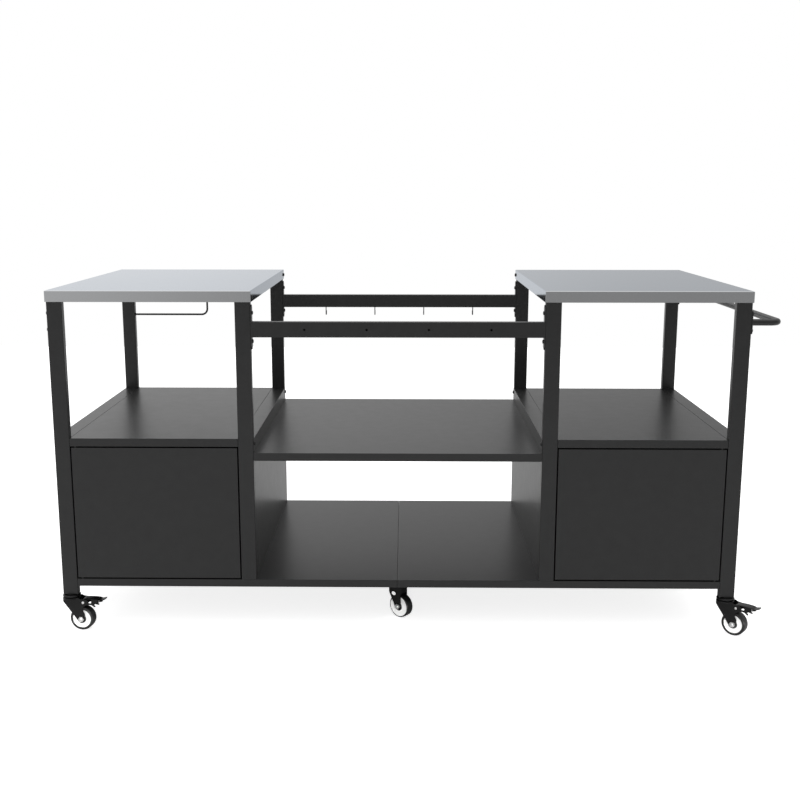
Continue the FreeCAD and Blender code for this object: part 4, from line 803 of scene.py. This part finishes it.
def hub_caps():
    """A cap on each side between core and fork: (radius, height) from the bore outwards."""
    profile = [(BORE, 11.0), (12.4, 11.0), (12.4, 12.5), (11.9, 12.9), (10.5, HUB_HALF),
               (BORE, HUB_HALF)]
    cap = turned(profile, 64, closed=True)
    return [cap, (cap[0] * (1, -1, -1), cap[1])]


def wheel_tyre(rim):
    """Tyre with round shoulders and a slightly crowned tread: (radius, height) round it."""
    shoulder, shoulder_radius, shoulder_height = 3.0, WHEEL_RADIUS - 3.1, 9.0
    half = [(rim + 0.02, 11.9), (rim + 0.5, 12.0)]
    half += [(shoulder_radius + shoulder * math.sin(a), shoulder_height + shoulder * math.cos(a))
             for a in np.linspace(0, np.pi / 2, 7)]
    half += [(WHEEL_RADIUS - 0.02, 4.5)]
    return turned(half + [(radius, -height) for radius, height in reversed(half)], 96, closed=True)


# the pedal seen from its side, in shares of its length and of its hub's radius

TREAD = (
    (-0.07, 1.7), (0.04, 2.1), (0.31, 2.33), (0.53, 2.29), (0.70, 2.04), (0.79, 1.69), (1.0, 2.44),
)
CHEEKS = (
    (0.0, -1.0), (0.22, -1.45), (0.38, -1.65), (0.52, -2.95), (0.57, -2.6), (0.50, -1.3),
    (0.56, -0.85), (0.735, -1.25), (0.765, -0.65), (0.66, 0.1), (0.87, 0.85), (0.82, 1.45),
    (0.70, 1.8), (0.53, 2.1), (0.37, 2.15), (0.37, -0.1), (0.33, -0.5), (0.26, -0.5), (0.08, 0.3),
    (0.0, 1.0),
)
SLOT = ((0.635, 0.95), (0.785, 1.25))


def pedal_parts():
    """The brake pedal: a tread that follows a smooth line, its end round, over two cheeks.

    Over its last part, u from 0 to 1, the tread narrows as the square root of 1 - 0.55 u u. A nose
    leans from the hub towards the wheel and stops short of the tyre."""
    hub, length, half, thick, round_part = 4.5, 59.5, 12.5, 2.2, 7.0

    def placed(spots):
        return np.array([PIVOT_X, PIVOT_Z]) + np.asarray(spots) * (length, hub)

    line = smooth_line(placed(TREAD))
    along = unit(np.gradient(line, axis=0))
    up = np.stack([-along[:, 1], along[:, 0]], 1)
    end = np.clip((line[:, 0] - (line[-1, 0] - round_part)) / round_part, 0, 1)
    width = half * np.sqrt(1 - 0.55 * end ** 2)
    section = rounded_rectangle((-1, -thick), (1, 0), 0.6, 4)
    spots = line[:, None] + up[:, None] * section[None, :, 1:]
    rings = np.stack([spots[..., 0], section[None, :, 0] * width[:, None], spots[..., 1]], -1)
    parts = [skin(rings)]
    cheek = rounded(placed(CHEEKS), 0.5, 4)
    slot = rounded_rectangle(*placed(SLOT), 0.6, 5)
    for inner, outer in ((-half, -half + thick), (half - thick, half)):
        parts.append(plate([cheek, slot], inner, outer, "y", 0.4))
    knuckle = turned([(2.3, -half), (hub, -half), (hub, half), (2.3, half)], 32, closed=True)
    parts.append(tipped(knuckle, "y", (PIVOT_X, 0, PIVOT_Z)))
    web = rounded_rectangle((PIVOT_X - 2.2, PIVOT_Z + 2.5), (PIVOT_X + 2.2, PIVOT_Z + 8.2), 0.5, 3)
    parts.append(slab(web, -half, half, "y"))
    nose_gap, nose_half = 0.7, 2.25
    lean = math.atan2(PIVOT_X - TRAIL, PIVOT_Z - WHEEL_RADIUS) - math.radians(18)
    reach = math.hypot(PIVOT_X - TRAIL, PIVOT_Z - WHEEL_RADIUS) - WHEEL_RADIUS - nose_gap
    nose = np.array([PIVOT_X - reach * math.sin(lean), PIVOT_Z - reach * math.cos(lean)])
    outline = rounded([(PIVOT_X - hub, PIVOT_Z), (nose[0] - nose_half, nose[1]),
                       (nose[0] + nose_half, nose[1]), (PIVOT_X + hub, PIVOT_Z)],
                      (0.3, 0.8, 0.8, 0.3), 4)
    parts.append(slab(outline, -half / 2, half / 2, "y"))
    return parts


def dress_castors():
    """Six castors: each part is turned and carried to its place, and rides on its own body."""
    heads = []
    for name, x, y, turn, braked in CASTORS:
        trail, tyre_height = (TRAIL, TYRE) if braked else (PLAIN_TRAIL, PLAIN_TYRE)
        rim = WHEEL_RADIUS - tyre_height
        castor, wheel, brake = f"castor_{name}", f"wheel_{name}", f"brake_{name}"
        fork, pedal = f"castor_fork_{name}", f"brake_pedal_{name}"
        core, tyre = f"wheel_core_{name}", f"wheel_tyre_{name}"

        def put(parts):
            return [moved(part, (CENTRE_X + x, y, 0), turn) for part in parts]

        def hung(parts):
            return put([tipped(part, "y", (trail, 0, WHEEL_RADIUS)) for part in parts])

        heads += put([swivel_head()])
        piece(f"{fork}_pressing", put(fork_parts(braked)), castor_paint, castor, "castor_black",
              fork)
        bright = [dome_nut(trail), bolt_head(trail)] + (pin_heads() if braked else [])
        piece(f"axle_nut_{name}", put(bright), bright_zinc, castor, "castor_black", fork)
        piece(f"{core}_moulding", hung([wheel_core(rim)]), white_nylon, wheel, "wheel_white", core)
        piece(f"hub_caps_{name}", hung(hub_caps()), hub_plastic, wheel, "wheel_white", core)
        piece(f"{tyre}_ring", hung([wheel_tyre(rim)]), tyre_rubber, wheel, "tyre_black", tyre)
        if braked:
            piece(f"{pedal}_pressing", put(pedal_parts()), castor_paint, brake, "castor_black",
                  pedal)
    piece("swivel_heads", heads, castor_paint, "frame", "castor_black", "castor_stems")


dress_sheet_work()
dress_posts()
dress_bolts()
dress_hooks()
dress_paper_rod()
dress_handle()
dress_castors()


# the studio

FRONT_LEFT, FRONT_RIGHT = 0.58, 0.33
BACK_LEFT, BACK_RIGHT = 0.88, 0.55
OVERHEAD = 1.10


def make_floor():
    """A wide pale floor, nearly white to the camera, that keeps the table's faint shadow."""
    half, grey, glow = 5.0, 0.82, 0.78
    mesh = bpy.data.meshes.new("floor")
    mesh.from_pydata([(-half, -half, 0), (half, -half, 0), (half, half, 0), (-half, half, 0)], [],
                     [(0, 1, 2, 3)])
    floor = new_object("floor", mesh)
    material, tree, shader, node = new_material("pale floor")
    shader.inputs["Base Color"].default_value = (grey, grey, grey, 1)
    shader.inputs["Roughness"].default_value = 0.9
    shader.inputs["Emission Color"].default_value = (1, 1, 1, 1)
    seen = node("ShaderNodeLightPath").outputs["Is Camera Ray"]
    tree.links.new(spread(tree, node, seen, 0.0, glow), shader.inputs["Emission Strength"])
    mesh.materials.append(material)


def make_world():
    """A white studio: bright behind the table, dimmer in front and to the right.

    The light's strength goes smoothly from the front value to the back value along Y, each of them
    from its left to its right value along X, and on to the value overhead along Z. To the camera,
    and through clear pieces, the studio is an even white."""
    world = bpy.data.worlds.new("studio")
    bpy.context.scene.world = world
    world.use_nodes = True
    tree = world.node_tree
    background = tree.nodes["Background"]
    heading = tree.nodes.new("ShaderNodeTexCoord")
    split = tree.nodes.new("ShaderNodeSeparateXYZ")
    tree.links.new(heading.outputs["Generated"], split.inputs["Vector"])

    def blend(axis, start, end, low, high):
        made = tree.nodes.new("ShaderNodeMapRange")
        made.interpolation_type = "SMOOTHSTEP"
        tree.links.new(split.outputs[axis], made.inputs["Value"])
        limits = {"From Min": start, "From Max": end, "To Min": low, "To Max": high}
        for name, value in limits.items():
            if isinstance(value, float):
                made.inputs[name].default_value = value
            else:
                tree.links.new(value, made.inputs[name])
        return made.outputs["Result"]

    front = blend("X", -0.39, 0.0, FRONT_LEFT, FRONT_RIGHT)
    back = blend("X", -0.30, 0.30, BACK_LEFT, BACK_RIGHT)
    level = blend("Y", -0.4, 0.4, front, back)
    light = blend("Z", 0.45, 0.95, level, OVERHEAD)
    ray = tree.nodes.new("ShaderNodeLightPath")
    either = tree.nodes.new("ShaderNodeMath")
    either.operation = "MAXIMUM"
    tree.links.new(ray.outputs["Is Camera Ray"], either.inputs[0])
    tree.links.new(ray.outputs["Is Transmission Ray"], either.inputs[1])
    strength = tree.nodes.new("ShaderNodeMapRange")
    strength.inputs["To Max"].default_value = 1.0
    tree.links.new(either.outputs[0], strength.inputs["Value"])
    tree.links.new(light, strength.inputs["To Min"])
    tree.links.new(strength.outputs["Result"], background.inputs["Strength"])
    background.inputs["Color"].default_value = (1, 1, 1, 1)


def softbox(name, spot, target, width, height, power, beam):
    """A rectangular lamp at spot that faces target, its light kept to a beam of degrees."""
    lamp = bpy.data.lights.new(name, "AREA")
    lamp.shape = "RECTANGLE"
    lamp.size, lamp.size_y = width, height
    lamp.energy = power
    lamp.spread = math.radians(beam)
    holder = new_object(name, lamp)
    away = np.array(spot) - np.array(target)
    distance = np.linalg.norm(away)
    holder.location = spot
    heading = math.atan2(away[1], away[0]) + math.pi / 2
    holder.rotation_euler = (math.acos(away[2] / distance), 0, heading)


def make_camera():
    """The photo's camera, solved from the table's corners: 11 degrees down, 0.8 to the left."""
    camera = bpy.data.cameras.new("camera")
    camera.sensor_width = 36.0
    camera.lens = 48.19
    camera.shift_x = 0.0125
    camera.clip_end = 200.0
    holder = new_object("camera", camera)
    holder.location = (-0.021375, -3.0915, 1.1612)
    holder.rotation_euler = (math.radians(90 - 10.998), 0, math.radians(0.796))
    bpy.context.scene.camera = holder


make_floor()
make_world()
softbox("low_strip", (0, -1.45, 0.10), (0, -0.36, 0.005), 3.4, 0.05, 0.85, 9)
softbox("key", (-1.6, -2.6, 3.2), (0, 0, 0.6), 3.6, 2.6, 10, 180)
softbox("top", (0, 0.6, 3.6), (0, 0, 0.8), 5.0, 4.0, 12, 180)
make_camera()
bpy.context.scene.view_settings.view_transform = "Standard"
